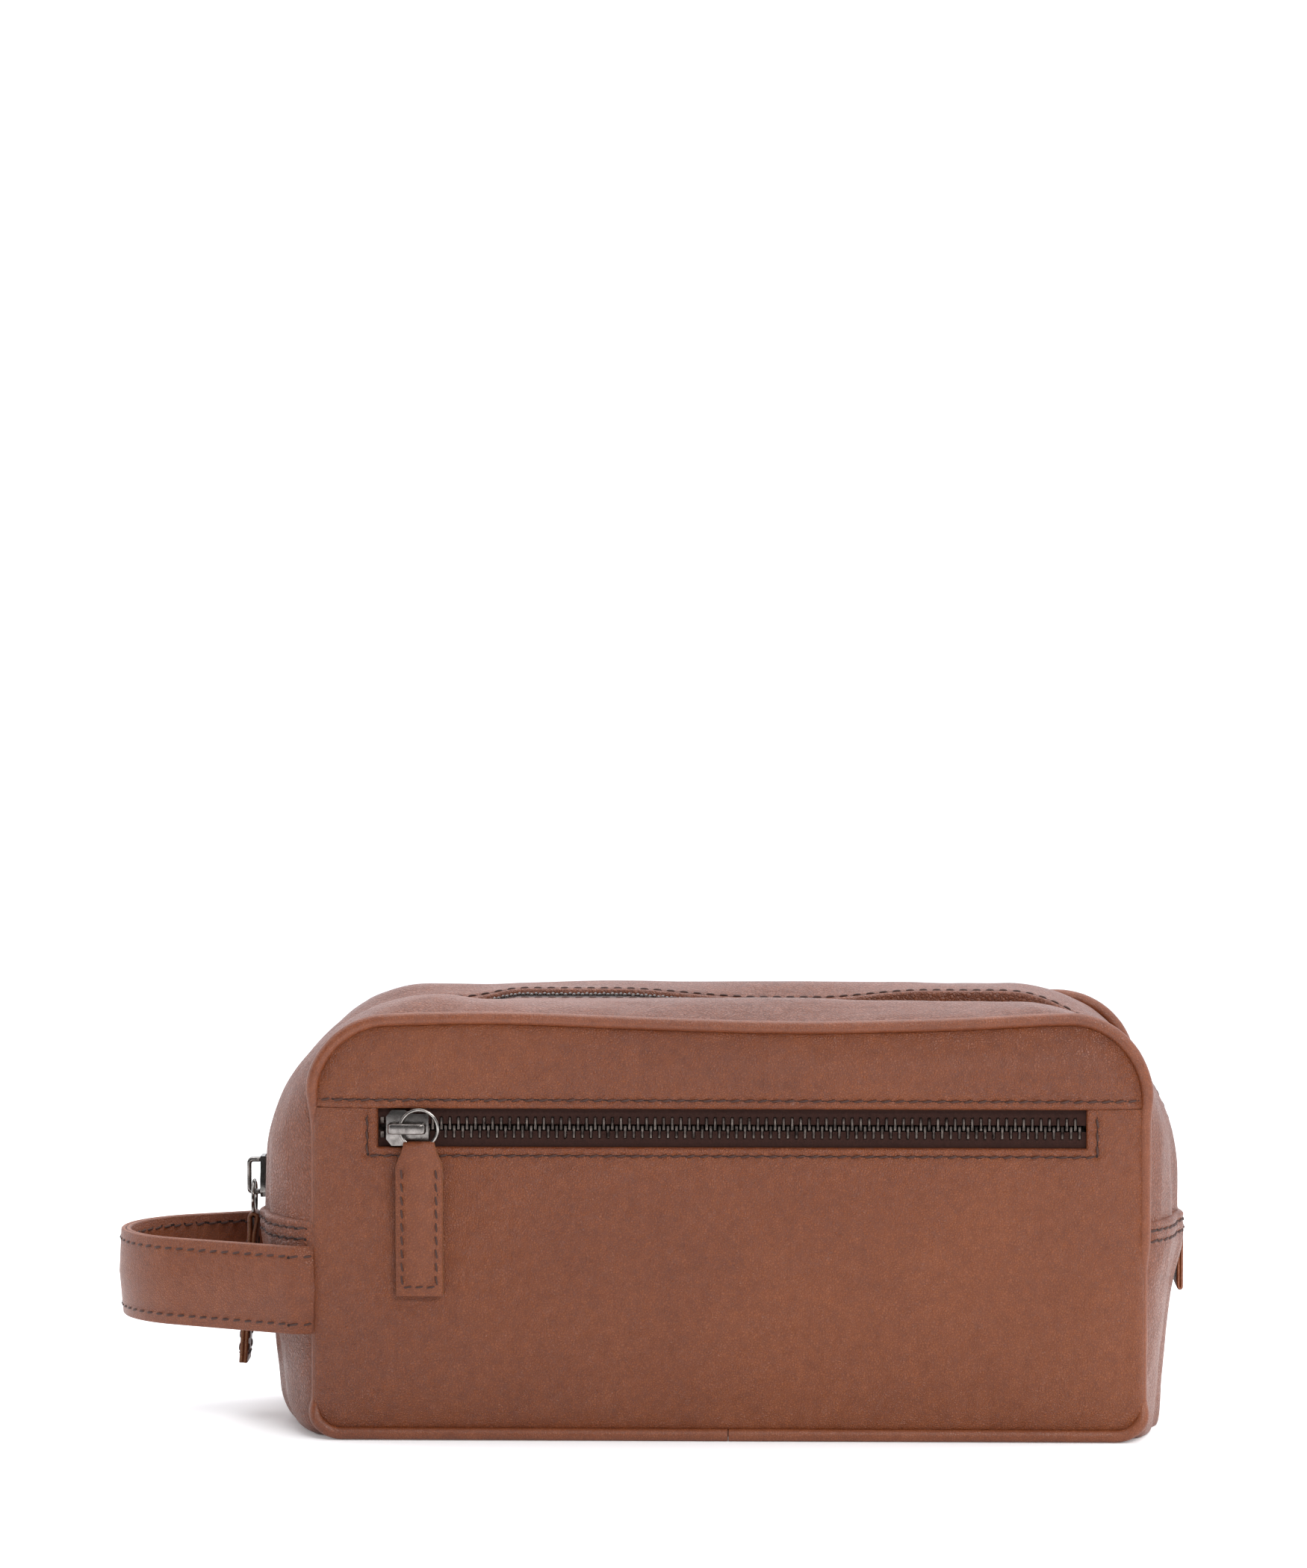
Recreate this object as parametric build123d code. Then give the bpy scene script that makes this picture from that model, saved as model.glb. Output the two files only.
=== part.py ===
from build123d import *

import math
import os

# A soft leather shaving kit bag (wash bag), closed, standing on its base.
# Millimetres. The origin is the centre of the flat of the base, +Z is up, the front faces -Y and
# the carrying loop is at the -X end.

# --- leather body ---------------------------------------------------------------------------
panel_length = 250.0         # a front or back panel, from end seam to end seam
panel_top = 125.5            # height of a panel's top seam
panel_bottom = 3.2           # height of a panel's bottom seam
panel_top_radius = 22.0      # corners of the seam line
panel_bottom_radius = 8.0
seam_depth = 100.0           # front seam to back seam
panel_bow = 3.5              # a panel's flat stands this far outside its seams
panel_slope = 11.0           # width of the slope between a panel's seam and its flat
flat_top_radius = 5.0
flat_bottom_radius = 4.0
leather = 1.4                # thickness of one layer
left_bulge = 17.3            # the gusset puffs out this far beyond the left end's seams
right_bulge = 11.5           # and the right end's, which is pressed flatter
crest_rise = 6.0             # top of the gusset above the panels' top seams
shoulder_radius = 50.0       # the gusset's top corners at its crest
zip_shoulder_radius = 54.4   # and at the zip, which cuts the corner a little
base_left_radius = 12.0      # the gusset's bottom corners
base_right_radius = 6.2
base_lift_width = 8.0        # the base lifts to the bottom seam over this width
crest_offset = 24.0          # depth of the gusset's crest from the middle
half_bulge = 0.5             # share of the bulge reached where the base flattens
gusset_joint_height = 65.0   # top strips above, the U-shaped lower strip below

# --- piping ---------------------------------------------------------------------------------
piping_diameter = 4.0
piping_cord_diameter = 2.4
piping_offset = 1.2          # its centre line lies outside the seam line
piping_step = 0.5            # and this far outside the seam plane
piping_butt = 0.3            # gap where its two ends meet under the bottom seam

# --- zips -----------------------------------------------------------------------------------
tooth_pitch = 2.58
tooth_length = 1.3
tooth_depth = 2.4            # across the row
tooth_height = 2.4           # through the tape
row_gap = 1.6                # between the two rows, which the slider's divider runs in
tape_thickness = 0.6
tape_width = 11.8            # of one tape, outside its teeth
tape_gap = 0.05              # tooth to tape
tape_seat = 0.1              # leather to tape
zip_gap = 12.0               # between the edges of the gusset's two top strips
zip_sink = 2.6               # those edges lie this far below the crest on top
zip_crown = 2.5              # and stand this far beyond it at the ends
zip_tail = 5.0               # the tapes run on behind the lower strip
chain_start = 4.2            # the teeth start this far above the joint in the gusset
stop_length = 2.0

pocket_fold_drop = 24.4      # folded edge of the front's upper panel, below the top seam
pocket_window_height = 11.7  # below that fold, with the zip along its middle
pocket_left_margin = 19.4    # from the end seams to the window
pocket_right_margin = 17.3
pocket_tape_tail = 5.0
pocket_bag_bottom = 30.0
pocket_bag_rise = 2.4        # above the fold
pocket_bag_depth = 4.1
pocket_mouth_overlap = 1.0   # the bag's mouth is this much larger than the window all round
cloth = 0.4                  # lining cloth
lining_seat = 0.2            # leather to lining

# --- sliders, rings and pullers ---------------------------------------------------------------
slider_length = 12.8
slider_width = 10.8
slider_nose_width = 8.6
slider_tail_width = 6.8
slider_tail_taper = 1.6      # length of the taper at the tail
slider_waist_start = 0.8     # the narrowing to the nose starts this far behind the middle
slider_waist_end = 1.6       # and ends this far before it
slider_nose_taper = 0.2
slider_plate = 1.3
slider_clearance = 0.25      # plate to teeth
slider_curve_room = 0.45     # more room under the lower plate, for the curved stretch of track
divider_length = 3.0
divider_width = 1.0
divider_offset = 3.8         # behind the slider's middle
crown_length = 11.5
crown_width = 3.2
crown_post = 1.5
crown_bar = 1.3
crown_corner = 1.7
crown_tunnel_corner = 0.65
ring_radius = 5.65           # to the middle of the wire
ring_wire = 1.1
ring_play = 0.35             # between the wire and the crown's bar
puller_width = 14.2
puller_length = 47.0
puller_thickness = 2.6
puller_eye_radius = 2.0
puller_eye_width = 5.0
puller_eye_bore = 1.25
puller_neck_width = 9.8
puller_neck_drop = 2.5       # the neck starts to widen this far below the eye
puller_taper_drop = 7.0      # and is full width here
puller_clearance = 0.2       # puller's eye to the slider's plate
rest_gap = 0.3               # between soft pieces that lie on each other

main_ring_drop = 7.15        # ring centre below the slider's middle
pocket_slider_inset = 8.9    # slider's middle from the window's left end
pocket_ring_shift = 3.65     # ring centre to the right of the slider's middle

# --- carrying loop and end tab ------------------------------------------------------------------
handle_width = 26.6
handle_ply = 1.5
handle_height = 45.3         # middle of the strap
handle_reach = 64.1          # beyond the end seam
handle_loop_radius = 32.0    # inside the loop's end
handle_root_radius = 1.0
handle_root_offset = 1.0     # middle of each root, beyond the end seam
tab_width = 22.0
tab_length = 24.0
tab_thickness = 1.9
tab_corner = 3.0
tab_rise = 1.0               # its top above the joint in the gusset

half_length = panel_length / 2
half_depth = seam_depth / 2
half_zip_gap = zip_gap / 2
crest_height = panel_top + crest_rise
row_outer = row_gap / 2 + tooth_depth
tape_edge = row_outer + tape_gap + tape_width + tape_seat   # the leather there clears the tape
far = 2 * (panel_length + seam_depth + crest_height)   # larger than the bag, for cutting


def rounded_outline(left, right, low, high, top_radius, left_radius, right_radius):
    """Face of a rectangle with round corners; local x runs along the bag, local y runs up."""
    edges = [
        Line((left_radius - left, low), (right - right_radius, low)),
        CenterArc((right - right_radius, low + right_radius), right_radius, -90, 90),
        Line((right, low + right_radius), (right, high - top_radius)),
        CenterArc((right - top_radius, high - top_radius), top_radius, 0, 90),
        Line((right - top_radius, high), (top_radius - left, high)),
        CenterArc((top_radius - left, high - top_radius), top_radius, 90, 90),
        Line((-left, high - top_radius), (-left, low + left_radius)),
        CenterArc((left_radius - left, low + left_radius), left_radius, 180, 90),
    ]
    return make_face(edges)


def upright_plane(y):
    """Plane parallel to the panels at depth y, seen from the front."""
    return Plane((0, y, 0), x_dir=(1, 0, 0), z_dir=(0, -1, 0))


def block(x0, x1, y0, y1, z0, z1):
    size = Box(x1 - x0, y1 - y0, z1 - z0)
    return Pos((x0 + x1) / 2, (y0 + y1) / 2, (z0 + z1) / 2) * size


def seam_outline(inset):
    return rounded_outline(
        half_length - inset, half_length - inset, panel_bottom + inset, panel_top - inset,
        panel_top_radius - inset, panel_bottom_radius - inset, panel_bottom_radius - inset,
    )


# --- gusset --------------------------------------------------------------------------------------
# The gusset is lofted through outlines from the front seam to the back seam.


def gusset_outline(bulge, crown, sink, lift, top_radius, inset):
    """Outline of a slice, with its share of each of the gusset's bulges."""
    return rounded_outline(
        half_length + bulge * left_bulge + crown * zip_crown - inset,
        half_length + bulge * right_bulge + crown * zip_crown - inset,
        lift * panel_bottom + inset,
        panel_top + bulge * crest_rise - sink * zip_sink - inset,
        top_radius - inset,
        panel_bottom_radius + bulge * (base_left_radius - panel_bottom_radius) - inset,
        panel_bottom_radius + bulge * (base_right_radius - panel_bottom_radius) - inset,
    )


def gusset_form(inset):
    """Solid whose skin is the gusset's outer surface, or lies inset inside it."""
    half_radius = panel_top_radius + half_bulge * (shoulder_radius - panel_top_radius)
    half_sink = (crest_offset - tape_edge) / (crest_offset - half_zip_gap)
    half_stations = [
        (half_depth, 0.0, 0.0, 0.0, 1.0, panel_top_radius),
        (half_depth - base_lift_width, half_bulge, 0.0, 0.0, 0.0, half_radius),
        (crest_offset, 1.0, 0.0, 0.0, 0.0, shoulder_radius),
        (tape_edge, 1.0, 1.0, half_sink, 0.0, zip_shoulder_radius),
        (half_zip_gap, 1.0, 1.0, 1.0, 0.0, zip_shoulder_radius),
    ]
    stations = [(-y, *shape) for y, *shape in half_stations] + half_stations[::-1]
    sections = [upright_plane(y) * gusset_outline(*shape, inset) for y, *shape in stations]
    return loft(sections, ruled=True)


def piping_path(y):
    """Centre line of the piping, open at its butt join under the bottom seam."""
    half = half_length + piping_offset
    low = panel_bottom - piping_offset
    high = panel_top + piping_offset
    top_r = panel_top_radius + piping_offset
    low_r = panel_bottom_radius + piping_offset
    gap = piping_butt / 2
    edges = [
        Line((gap, low), (half - low_r, low)),
        CenterArc((half - low_r, low + low_r), low_r, -90, 90),
        Line((half, low + low_r), (half, high - top_r)),
        CenterArc((half - top_r, high - top_r), top_r, 0, 90),
        Line((half - top_r, high), (top_r - half, high)),
        CenterArc((top_r - half, high - top_r), top_r, 90, 90),
        Line((-half, high - top_r), (-half, low + low_r)),
        CenterArc((low_r - half, low + low_r), low_r, 180, 90),
        Line((low_r - half, low), (-gap, low)),
    ]
    return upright_plane(y) * Wire(edges)


def piping_rod(y, diameter):
    start = Plane((piping_butt / 2, y, panel_bottom - piping_offset), z_dir=(1, 0, 0))
    return sweep(start * Circle(diameter / 2), path=piping_path(y))


piping_depth = half_depth + piping_step
piping_y = {"front": -piping_depth, "back": piping_depth}
piping_solid = {side: piping_rod(y, piping_diameter) for side, y in piping_y.items()}
piping_bore = {side: piping_rod(y, piping_cord_diameter) for side, y in piping_y.items()}

gusset = gusset_form(0) - gusset_form(leather)
for rod in piping_solid.values():
    gusset -= rod

above_joint = block(-far, far, -far, far, gusset_joint_height, far)
strip_zone = {
    "front": block(-far, far, -far, -half_zip_gap, gusset_joint_height, far),
    "back": block(-far, far, half_zip_gap, far, gusset_joint_height, far),
}

parts = {}
parts["gusset_top_front"] = gusset & strip_zone["front"]
parts["gusset_top_back"] = gusset & strip_zone["back"]
parts["gusset_lower"] = gusset - above_joint

for side, rod in piping_solid.items():
    cord_clearance = tape_gap * 2
    parts[f"piping_{side}"] = rod - piping_bore[side]
    parts[f"piping_cord_{side}"] = piping_rod(piping_y[side], piping_cord_diameter - cord_clearance)

# --- panels ---------------------------------------------------------------------------------------


def panel_form(inset, side):
    """The panel's outer form, or the form that lies inset behind it; side is -1 at the front."""
    flat_half = half_length - panel_slope - inset / 2
    flat = rounded_outline(
        flat_half, flat_half, panel_bottom + panel_slope + inset / 2,
        panel_top - panel_slope - inset / 2, flat_top_radius, flat_bottom_radius, flat_bottom_radius,
    )
    seam = upright_plane(side * half_depth) * seam_outline(inset)
    face = upright_plane(side * (half_depth + panel_bow - inset)) * flat
    return loft([seam, face], ruled=True)


def panel(side):
    return panel_form(0, side) - panel_form(leather, side)


pocket_fold_height = panel_top - pocket_fold_drop
pocket_window_bottom = pocket_fold_height - pocket_window_height
pocket_zip_height = pocket_fold_height - pocket_window_height / 2
pocket_window_left = pocket_left_margin - half_length
pocket_window_right = half_length - pocket_right_margin
front_tray = panel(-1) - piping_solid["front"]
above_fold = block(-far, far, -far, far, pocket_fold_height, far)
window = block(
    pocket_window_left, pocket_window_right, -far, 0, pocket_window_bottom, pocket_fold_height
)
parts["front_upper_panel"] = front_tray & above_fold
parts["front_lower_panel"] = front_tray - above_fold - window
parts["back_panel"] = panel(1) - piping_solid["back"]

# --- zip chain along the gusset --------------------------------------------------------------------
# The track is an arch: up the left end, round the shoulder, across the top and down the right end.

tape_middle_inset = leather + tape_seat + tape_thickness / 2
track_left = half_length + left_bulge + zip_crown - tape_middle_inset
track_right = half_length + right_bulge + zip_crown - tape_middle_inset
track_top = crest_height - zip_sink - tape_middle_inset
track_radius = zip_shoulder_radius - tape_middle_inset
shoulder_left = track_radius - track_left
shoulder_right = track_right - track_radius
shoulder_z = track_top - track_radius
track_start = gusset_joint_height + chain_start
track_rise = shoulder_z - track_start
track_arc = track_radius * math.pi / 2
track_flat = shoulder_right - shoulder_left
track_length = 2 * (track_rise + track_arc) + track_flat


def track_place(distance):
    """Place on the track: x, z and the direction of travel in degrees above +X."""
    if distance <= track_rise:
        return -track_left, track_start + distance, 90.0
    distance -= track_rise
    if distance <= track_arc:
        angle = distance / track_radius
        x = shoulder_left - track_radius * math.cos(angle)
        z = shoulder_z + track_radius * math.sin(angle)
        return x, z, 90.0 - math.degrees(angle)
    distance -= track_arc
    if distance <= track_flat:
        return shoulder_left + distance, track_top, 0.0
    distance -= track_flat
    if distance <= track_arc:
        angle = distance / track_radius
        x = shoulder_right + track_radius * math.sin(angle)
        z = shoulder_z + track_radius * math.cos(angle)
        return x, z, -math.degrees(angle)
    distance -= track_arc
    return track_right, shoulder_z - distance, -90.0


def track_band(reach):
    """Outline of the track, drawn reach outside its middle line, down to the base."""
    return rounded_outline(
        track_left + reach, track_right + reach, -reach, track_top + reach,
        track_radius + reach, base_left_radius, base_right_radius,
    )


def track_tape(side):
    """Tape of one side, an arch of constant width; side is -1 at the front."""
    near = row_outer + tape_gap
    band = track_band(tape_thickness / 2) - track_band(-tape_thickness / 2)
    arch = extrude(upright_plane(side * near) * band, -side * tape_width)
    return arch - block(-far, far, -far, far, -far, gusset_joint_height - zip_tail)


def track_teeth(side, first):
    """One row of teeth; the other row starts half a pitch on."""
    middle = side * (row_gap + tooth_depth) / 2
    count = int((track_length - first) / tooth_pitch)
    row = []
    for index in range(count):
        x, z, heading = track_place(first + index * tooth_pitch)
        tooth = Box(tooth_length, tooth_depth, tooth_height)
        row.append(Pos(x, middle, z) * Rot(0, -heading, 0) * tooth)
    return Compound(children=row)


parts["main_zip_tape_front"] = track_tape(-1)
parts["main_zip_tape_back"] = track_tape(1)
parts["main_zip_teeth_front"] = track_teeth(-1, tooth_length)
parts["main_zip_teeth_back"] = track_teeth(1, tooth_length + tooth_pitch / 2)

stop_top = gusset_joint_height + chain_start - tape_gap
stop_in = tooth_height / 2
main_stops = [
    block(-track_left - stop_in, -track_left + stop_in, y0, y0 + tooth_depth,
          stop_top - stop_length, stop_top)
    for y0 in (-row_outer, row_gap / 2)
]
main_stops.append(
    block(track_right - stop_in, track_right + stop_in, -row_outer, row_outer,
          stop_top - stop_length - tooth_length, stop_top - tooth_length)
)
parts["main_zip_stops"] = Compound(children=main_stops)

# --- front pocket ------------------------------------------------------------------------------------

flat_inner_y = -(half_depth + panel_bow - leather)
pocket_tape_y = flat_inner_y + tape_seat + tape_thickness / 2
tape_left = pocket_window_left - pocket_tape_tail
tape_right = pocket_window_right + pocket_tape_tail


def pocket_tape(up):
    near = pocket_zip_height + up * (row_outer + tape_gap)
    edges = sorted((near, near + up * tape_width))
    half_t = tape_thickness / 2
    return block(
        tape_left, tape_right, pocket_tape_y - half_t, pocket_tape_y + half_t, edges[0], edges[1]
    )


def pocket_teeth(up, first):
    start = pocket_window_left + stop_length + first
    end = pocket_window_right - stop_length - tooth_length
    count = int((end - start) / tooth_pitch) + 1
    z = pocket_zip_height + up * (row_gap + tooth_depth) / 2
    tooth = Box(tooth_length, tooth_height, tooth_depth)
    row = [Pos(start + index * tooth_pitch, pocket_tape_y, z) * tooth for index in range(count)]
    return Compound(children=row)


parts["pocket_zip_tape_upper"] = pocket_tape(1)
parts["pocket_zip_tape_lower"] = pocket_tape(-1)
parts["pocket_zip_teeth_upper"] = pocket_teeth(1, tooth_length)
parts["pocket_zip_teeth_lower"] = pocket_teeth(-1, tooth_length + tooth_pitch / 2)

pocket_stops = []
for up in (-1, 1):
    low = pocket_zip_height + min(up * row_gap / 2, up * row_outer)
    pocket_stops.append(
        block(pocket_window_left, pocket_window_left + stop_length,
              pocket_tape_y - stop_in, pocket_tape_y + stop_in, low, low + tooth_depth)
    )
pocket_stops.append(
    block(pocket_window_right - stop_length, pocket_window_right,
          pocket_tape_y - stop_in, pocket_tape_y + stop_in,
          pocket_zip_height - row_outer, pocket_zip_height + row_outer)
)
parts["pocket_zip_stops"] = Compound(children=pocket_stops)

bag_front = pocket_tape_y + tape_thickness / 2 + tape_seat
bag_back = bag_front + pocket_bag_depth
pocket_bag_height = pocket_fold_height + pocket_bag_rise
bag_shell = block(tape_left, tape_right, bag_front, bag_back, pocket_bag_bottom, pocket_bag_height)
bag_shell -= block(
    tape_left + cloth, tape_right - cloth, bag_front + cloth, bag_back - cloth,
    pocket_bag_bottom + cloth, pocket_bag_height - cloth,
)
bag_mouth = block(
    pocket_window_left - pocket_mouth_overlap, pocket_window_right + pocket_mouth_overlap,
    bag_front - cloth, bag_front + 2 * cloth,
    pocket_window_bottom - pocket_mouth_overlap, pocket_fold_height + pocket_mouth_overlap,
)
parts["pocket_bag"] = bag_shell - bag_mouth

# --- lining --------------------------------------------------------------------------------------------

lining_inset = leather + lining_seat
lining_skin = gusset_form(lining_inset) - gusset_form(lining_inset + cloth)
parts["lining_gusset"] = lining_skin - block(
    -far, far, -tape_edge, tape_edge, gusset_joint_height - zip_tail - tape_seat, far
)
for side, y in (("front", bag_back + rest_gap + cloth), ("back", half_depth - leather)):
    sheet = extrude(upright_plane(y) * seam_outline(lining_inset + cloth + rest_gap), cloth)
    parts[f"lining_{side}"] = sheet

# --- slider, crown, ring and puller -------------------------------------------------------------------
# Local x runs along the zip away from the slider's mouth, local y across it, local z out of the bag,
# and the origin is the middle of the slider on the tape's middle plane.

plate_low = tooth_height / 2 + slider_clearance
plate_high = plate_low + slider_plate
under_low = plate_low + slider_curve_room
ring_level = plate_high + puller_clearance + puller_eye_radius
bar_level = ring_level + ring_wire / 2 + ring_play


def slider_body():
    end = slider_length / 2
    wide = slider_width / 2
    nose = slider_nose_width / 2
    one_side = [
        (-end, slider_tail_width / 2), (slider_tail_taper - end, wide), (-slider_waist_start, wide),
        (slider_waist_end, nose), (end, nose - slider_nose_taper),
    ]
    outline = one_side + [(x, -y) for x, y in reversed(one_side)]
    plate = make_face(Polyline(*outline, close=True))
    flange_slot = tape_thickness / 2 + slider_clearance
    teeth_way = row_outer + slider_clearance
    flange = plate - Rectangle(2 * slider_length, 2 * teeth_way)
    body = Pos(0, 0, plate_low) * extrude(plate, slider_plate)
    body += Pos(0, 0, -under_low - slider_plate) * extrude(plate, slider_plate)
    body += Pos(0, 0, flange_slot) * extrude(flange, plate_low - flange_slot)
    under_slot = flange_slot + slider_curve_room
    body += Pos(0, 0, -under_low) * extrude(flange, under_low - under_slot)
    divider = Box(divider_length, divider_width, plate_low + under_low + slider_plate)
    body += Pos(-divider_offset, 0, (plate_low - under_low) / 2) * divider
    return body


def slider_crown():
    """Bridge over the slider, open across it, that the ring's wire passes through."""
    half = crown_length / 2
    top = bar_level + crown_bar
    arch = Pos(0, (plate_high + top) / 2) * Rectangle(crown_length, top - plate_high)
    arch = fillet(arch.vertices().group_by(Axis.Y)[-1], crown_corner)
    tunnel_top = bar_level
    tunnel = Pos(0, (plate_high + tunnel_top) / 2) * Rectangle(
        2 * (half - crown_post), tunnel_top - plate_high
    )
    tunnel = fillet(tunnel.vertices().group_by(Axis.Y)[-1], crown_tunnel_corner)
    side = Plane((0, crown_width / 2, 0), x_dir=(1, 0, 0), z_dir=(0, -1, 0))
    return extrude(side * (arch - tunnel), crown_width)


def pull_ring(offset):
    return Pos(offset, 0, ring_level) * Torus(ring_radius, ring_wire / 2)


def puller():
    """Folded leather tab; the ring's wire lies in its eye, along local x through the origin."""
    half = puller_width / 2
    neck = puller_neck_width / 2
    bottom = -(puller_length - puller_eye_radius)
    eye = puller_eye_width / 2
    outline = [
        (eye, 0), (neck, -puller_neck_drop), (half, -puller_taper_drop), (half, bottom),
    ]
    outline += [(-x, y) for x, y in reversed(outline)]
    leaf = extrude(make_face(Polyline(*outline, close=True)), puller_thickness / 2, both=True)
    across = Rot(0, 90, 0)
    leaf += across * Cylinder(puller_eye_radius, puller_eye_width)
    return leaf - across * Cylinder(puller_eye_bore, 2 * puller_width)


# The closed main zip's slider rests at the foot of the left shoulder's arc.
main_plane = Plane((-track_left, 0, shoulder_z), x_dir=(0, 0, 1), z_dir=(-1, 0, 0))
pocket_slider_x = pocket_window_left + pocket_slider_inset
pocket_plane = Plane(
    (pocket_slider_x, pocket_tape_y, pocket_zip_height), x_dir=(1, 0, 0), z_dir=(0, -1, 0)
)
for name, plane, ring_offset in (
    ("main", main_plane, -main_ring_drop), ("pocket", pocket_plane, pocket_ring_shift)
):
    parts[f"{name}_slider_body"] = plane * slider_body()
    parts[f"{name}_slider_crown"] = plane * slider_crown()
    parts[f"{name}_pull_ring"] = plane * pull_ring(ring_offset)

main_eye = (-track_left - ring_level, 0, shoulder_z - main_ring_drop - ring_radius)
parts["main_puller"] = Plane(main_eye, x_dir=(0, -1, 0), z_dir=(-1, 0, 0)) * puller()

# The pocket's puller leans back until its lower end lies on the panel.
pocket_eye = (
    pocket_slider_x + pocket_ring_shift, pocket_tape_y - ring_level,
    pocket_zip_height - ring_radius,
)
flat_y = -(half_depth + panel_bow)
lean = flat_y - rest_gap - puller_thickness / 2 - pocket_eye[1]
lean_angle = math.degrees(math.atan2(lean, puller_length - puller_eye_radius))
pocket_puller_plane = Plane(pocket_eye, x_dir=(1, 0, 0), z_dir=(0, -1, 0))
parts["pocket_puller"] = pocket_puller_plane * Rot(lean_angle, 0, 0) * puller()

# --- carrying loop -----------------------------------------------------------------------------
# Two plies of leather in a loop, level, sewn into the seams of the left end. Near the seams each
# end is round about the line on which the loop flexes.

handle_half = handle_width / 2
piping_edge = half_length + piping_offset + piping_diameter / 2
flex_x = -(piping_edge + rest_gap + handle_half)
loop_x = -(half_length + handle_reach - 2 * handle_ply - handle_loop_radius)
root_x = -(half_length + handle_root_offset)


def loop_form(offset):
    end = Pos(loop_x, 0) * Circle(handle_loop_radius + offset)
    roots = [
        Pos(root_x, y) * Circle(handle_root_radius + offset) for y in (-half_depth, half_depth)
    ]
    edges = end.edges() + roots[0].edges() + roots[1].edges()
    outline = make_hull(edges)
    return Pos(0, 0, handle_height - handle_half) * extrude(outline, handle_width)


flex_zone = block(-far, flex_x, -far, far, -far, far)
flex_zone += Pos(flex_x, 0, handle_height) * Rot(90, 0, 0) * Cylinder(handle_half, far)
for name, inside in (("handle_inner", 0), ("handle_outer", handle_ply)):
    ply = loop_form(inside + handle_ply) - loop_form(inside)
    parts[name] = ply & flex_zone

# --- end tab -------------------------------------------------------------------------------------
# A folded strip at the right end that hangs over the joint in the gusset.

tab_x = half_length + right_bulge + zip_crown + rest_gap
tab_plane = Plane(
    (tab_x, 0, gusset_joint_height + tab_rise - tab_length / 2), x_dir=(0, 1, 0), z_dir=(1, 0, 0)
)
tab = extrude(RectangleRounded(tab_width, tab_length, tab_corner), tab_thickness)
parts["end_tab"] = tab_plane * tab

os.makedirs("parts", exist_ok=True)
for name, shape in parts.items():
    shape.label = name
    export_step(shape, f"parts/{name}.step")
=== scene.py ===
import math

import bmesh
import bpy
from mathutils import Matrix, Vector, noise


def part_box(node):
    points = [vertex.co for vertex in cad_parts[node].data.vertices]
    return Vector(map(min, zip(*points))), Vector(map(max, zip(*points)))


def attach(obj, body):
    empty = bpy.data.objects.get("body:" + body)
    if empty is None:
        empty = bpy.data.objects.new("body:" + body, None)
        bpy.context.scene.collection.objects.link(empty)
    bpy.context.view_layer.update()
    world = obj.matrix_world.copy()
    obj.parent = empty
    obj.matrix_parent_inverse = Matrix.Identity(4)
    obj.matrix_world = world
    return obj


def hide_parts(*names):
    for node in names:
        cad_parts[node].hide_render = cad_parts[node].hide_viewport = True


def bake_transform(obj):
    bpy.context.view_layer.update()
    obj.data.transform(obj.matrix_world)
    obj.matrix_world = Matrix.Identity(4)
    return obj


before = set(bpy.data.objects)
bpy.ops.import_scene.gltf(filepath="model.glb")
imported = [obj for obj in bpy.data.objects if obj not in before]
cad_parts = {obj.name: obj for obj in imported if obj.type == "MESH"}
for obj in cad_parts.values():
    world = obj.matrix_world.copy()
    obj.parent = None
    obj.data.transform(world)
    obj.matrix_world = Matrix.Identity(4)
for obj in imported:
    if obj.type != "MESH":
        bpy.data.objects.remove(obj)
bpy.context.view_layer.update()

# Front of the bag: an upper panel over a lower panel, cut from one hide of pebbled brown cowhide.
# The upper panel's lower edge is folded and topstitched over the pocket zip; the lower panel has
# the folded window that the zip shows through.
mm = 0.001
pipe_low, pipe_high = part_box("piping_front")
pipe_radius = 2.0 * mm
pipe_outset = 1.2 * mm
seam_half = pipe_high.x - pipe_radius - pipe_outset
seam_top = pipe_high.z - pipe_radius - pipe_outset
seam_bottom = pipe_low.z + pipe_radius + pipe_outset
seam_y = -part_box("back_panel")[0].y
flat_y = -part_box("back_panel")[1].y
seam_top_radius = 22 * mm
seam_low_radius = 8 * mm
fold_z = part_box("front_upper_panel")[0].z
window_low_z = 89.4 * mm
window_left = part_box("pocket_zip_stops")[0].x
window_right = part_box("pocket_zip_stops")[1].x
hide_thickness = 1.4 * mm


def smooth(value):
    value = min(1.0, max(0.0, value))
    return value * value * (3 - 2 * value)


def ripple(point, per_metre, seed=0.0):
    """Soft unevenness between -1 and 1, the same each run."""
    return noise.noise(Vector(point) * per_metre + Vector((seed, seed * 2.3, seed * 0.7)))


def node_input(node, name, value):
    node.inputs[name].default_value = value


def new_group(name, inputs, outputs):
    """Empty shader group with float inputs given as name: value, and float outputs."""
    group = bpy.data.node_groups.new(name, "ShaderNodeTree")
    for label, value in inputs.items():
        socket = group.interface.new_socket(label, in_out="INPUT", socket_type="NodeSocketFloat")
        socket.default_value = value
    for label in outputs:
        group.interface.new_socket(label, in_out="OUTPUT", socket_type="NodeSocketFloat")
    return group, group.nodes.new("NodeGroupInput"), group.nodes.new("NodeGroupOutput")


def math_node(tree, operation, a, b):
    """Math node fed by sockets or plain numbers; returns its output."""
    node = tree.nodes.new("ShaderNodeMath")
    node.operation = operation
    for slot_index, value in enumerate((a, b)):
        if isinstance(value, bpy.types.NodeSocket):
            tree.links.new(value, node.inputs[slot_index])
        else:
            node.inputs[slot_index].default_value = value
    return node.outputs[0]


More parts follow.
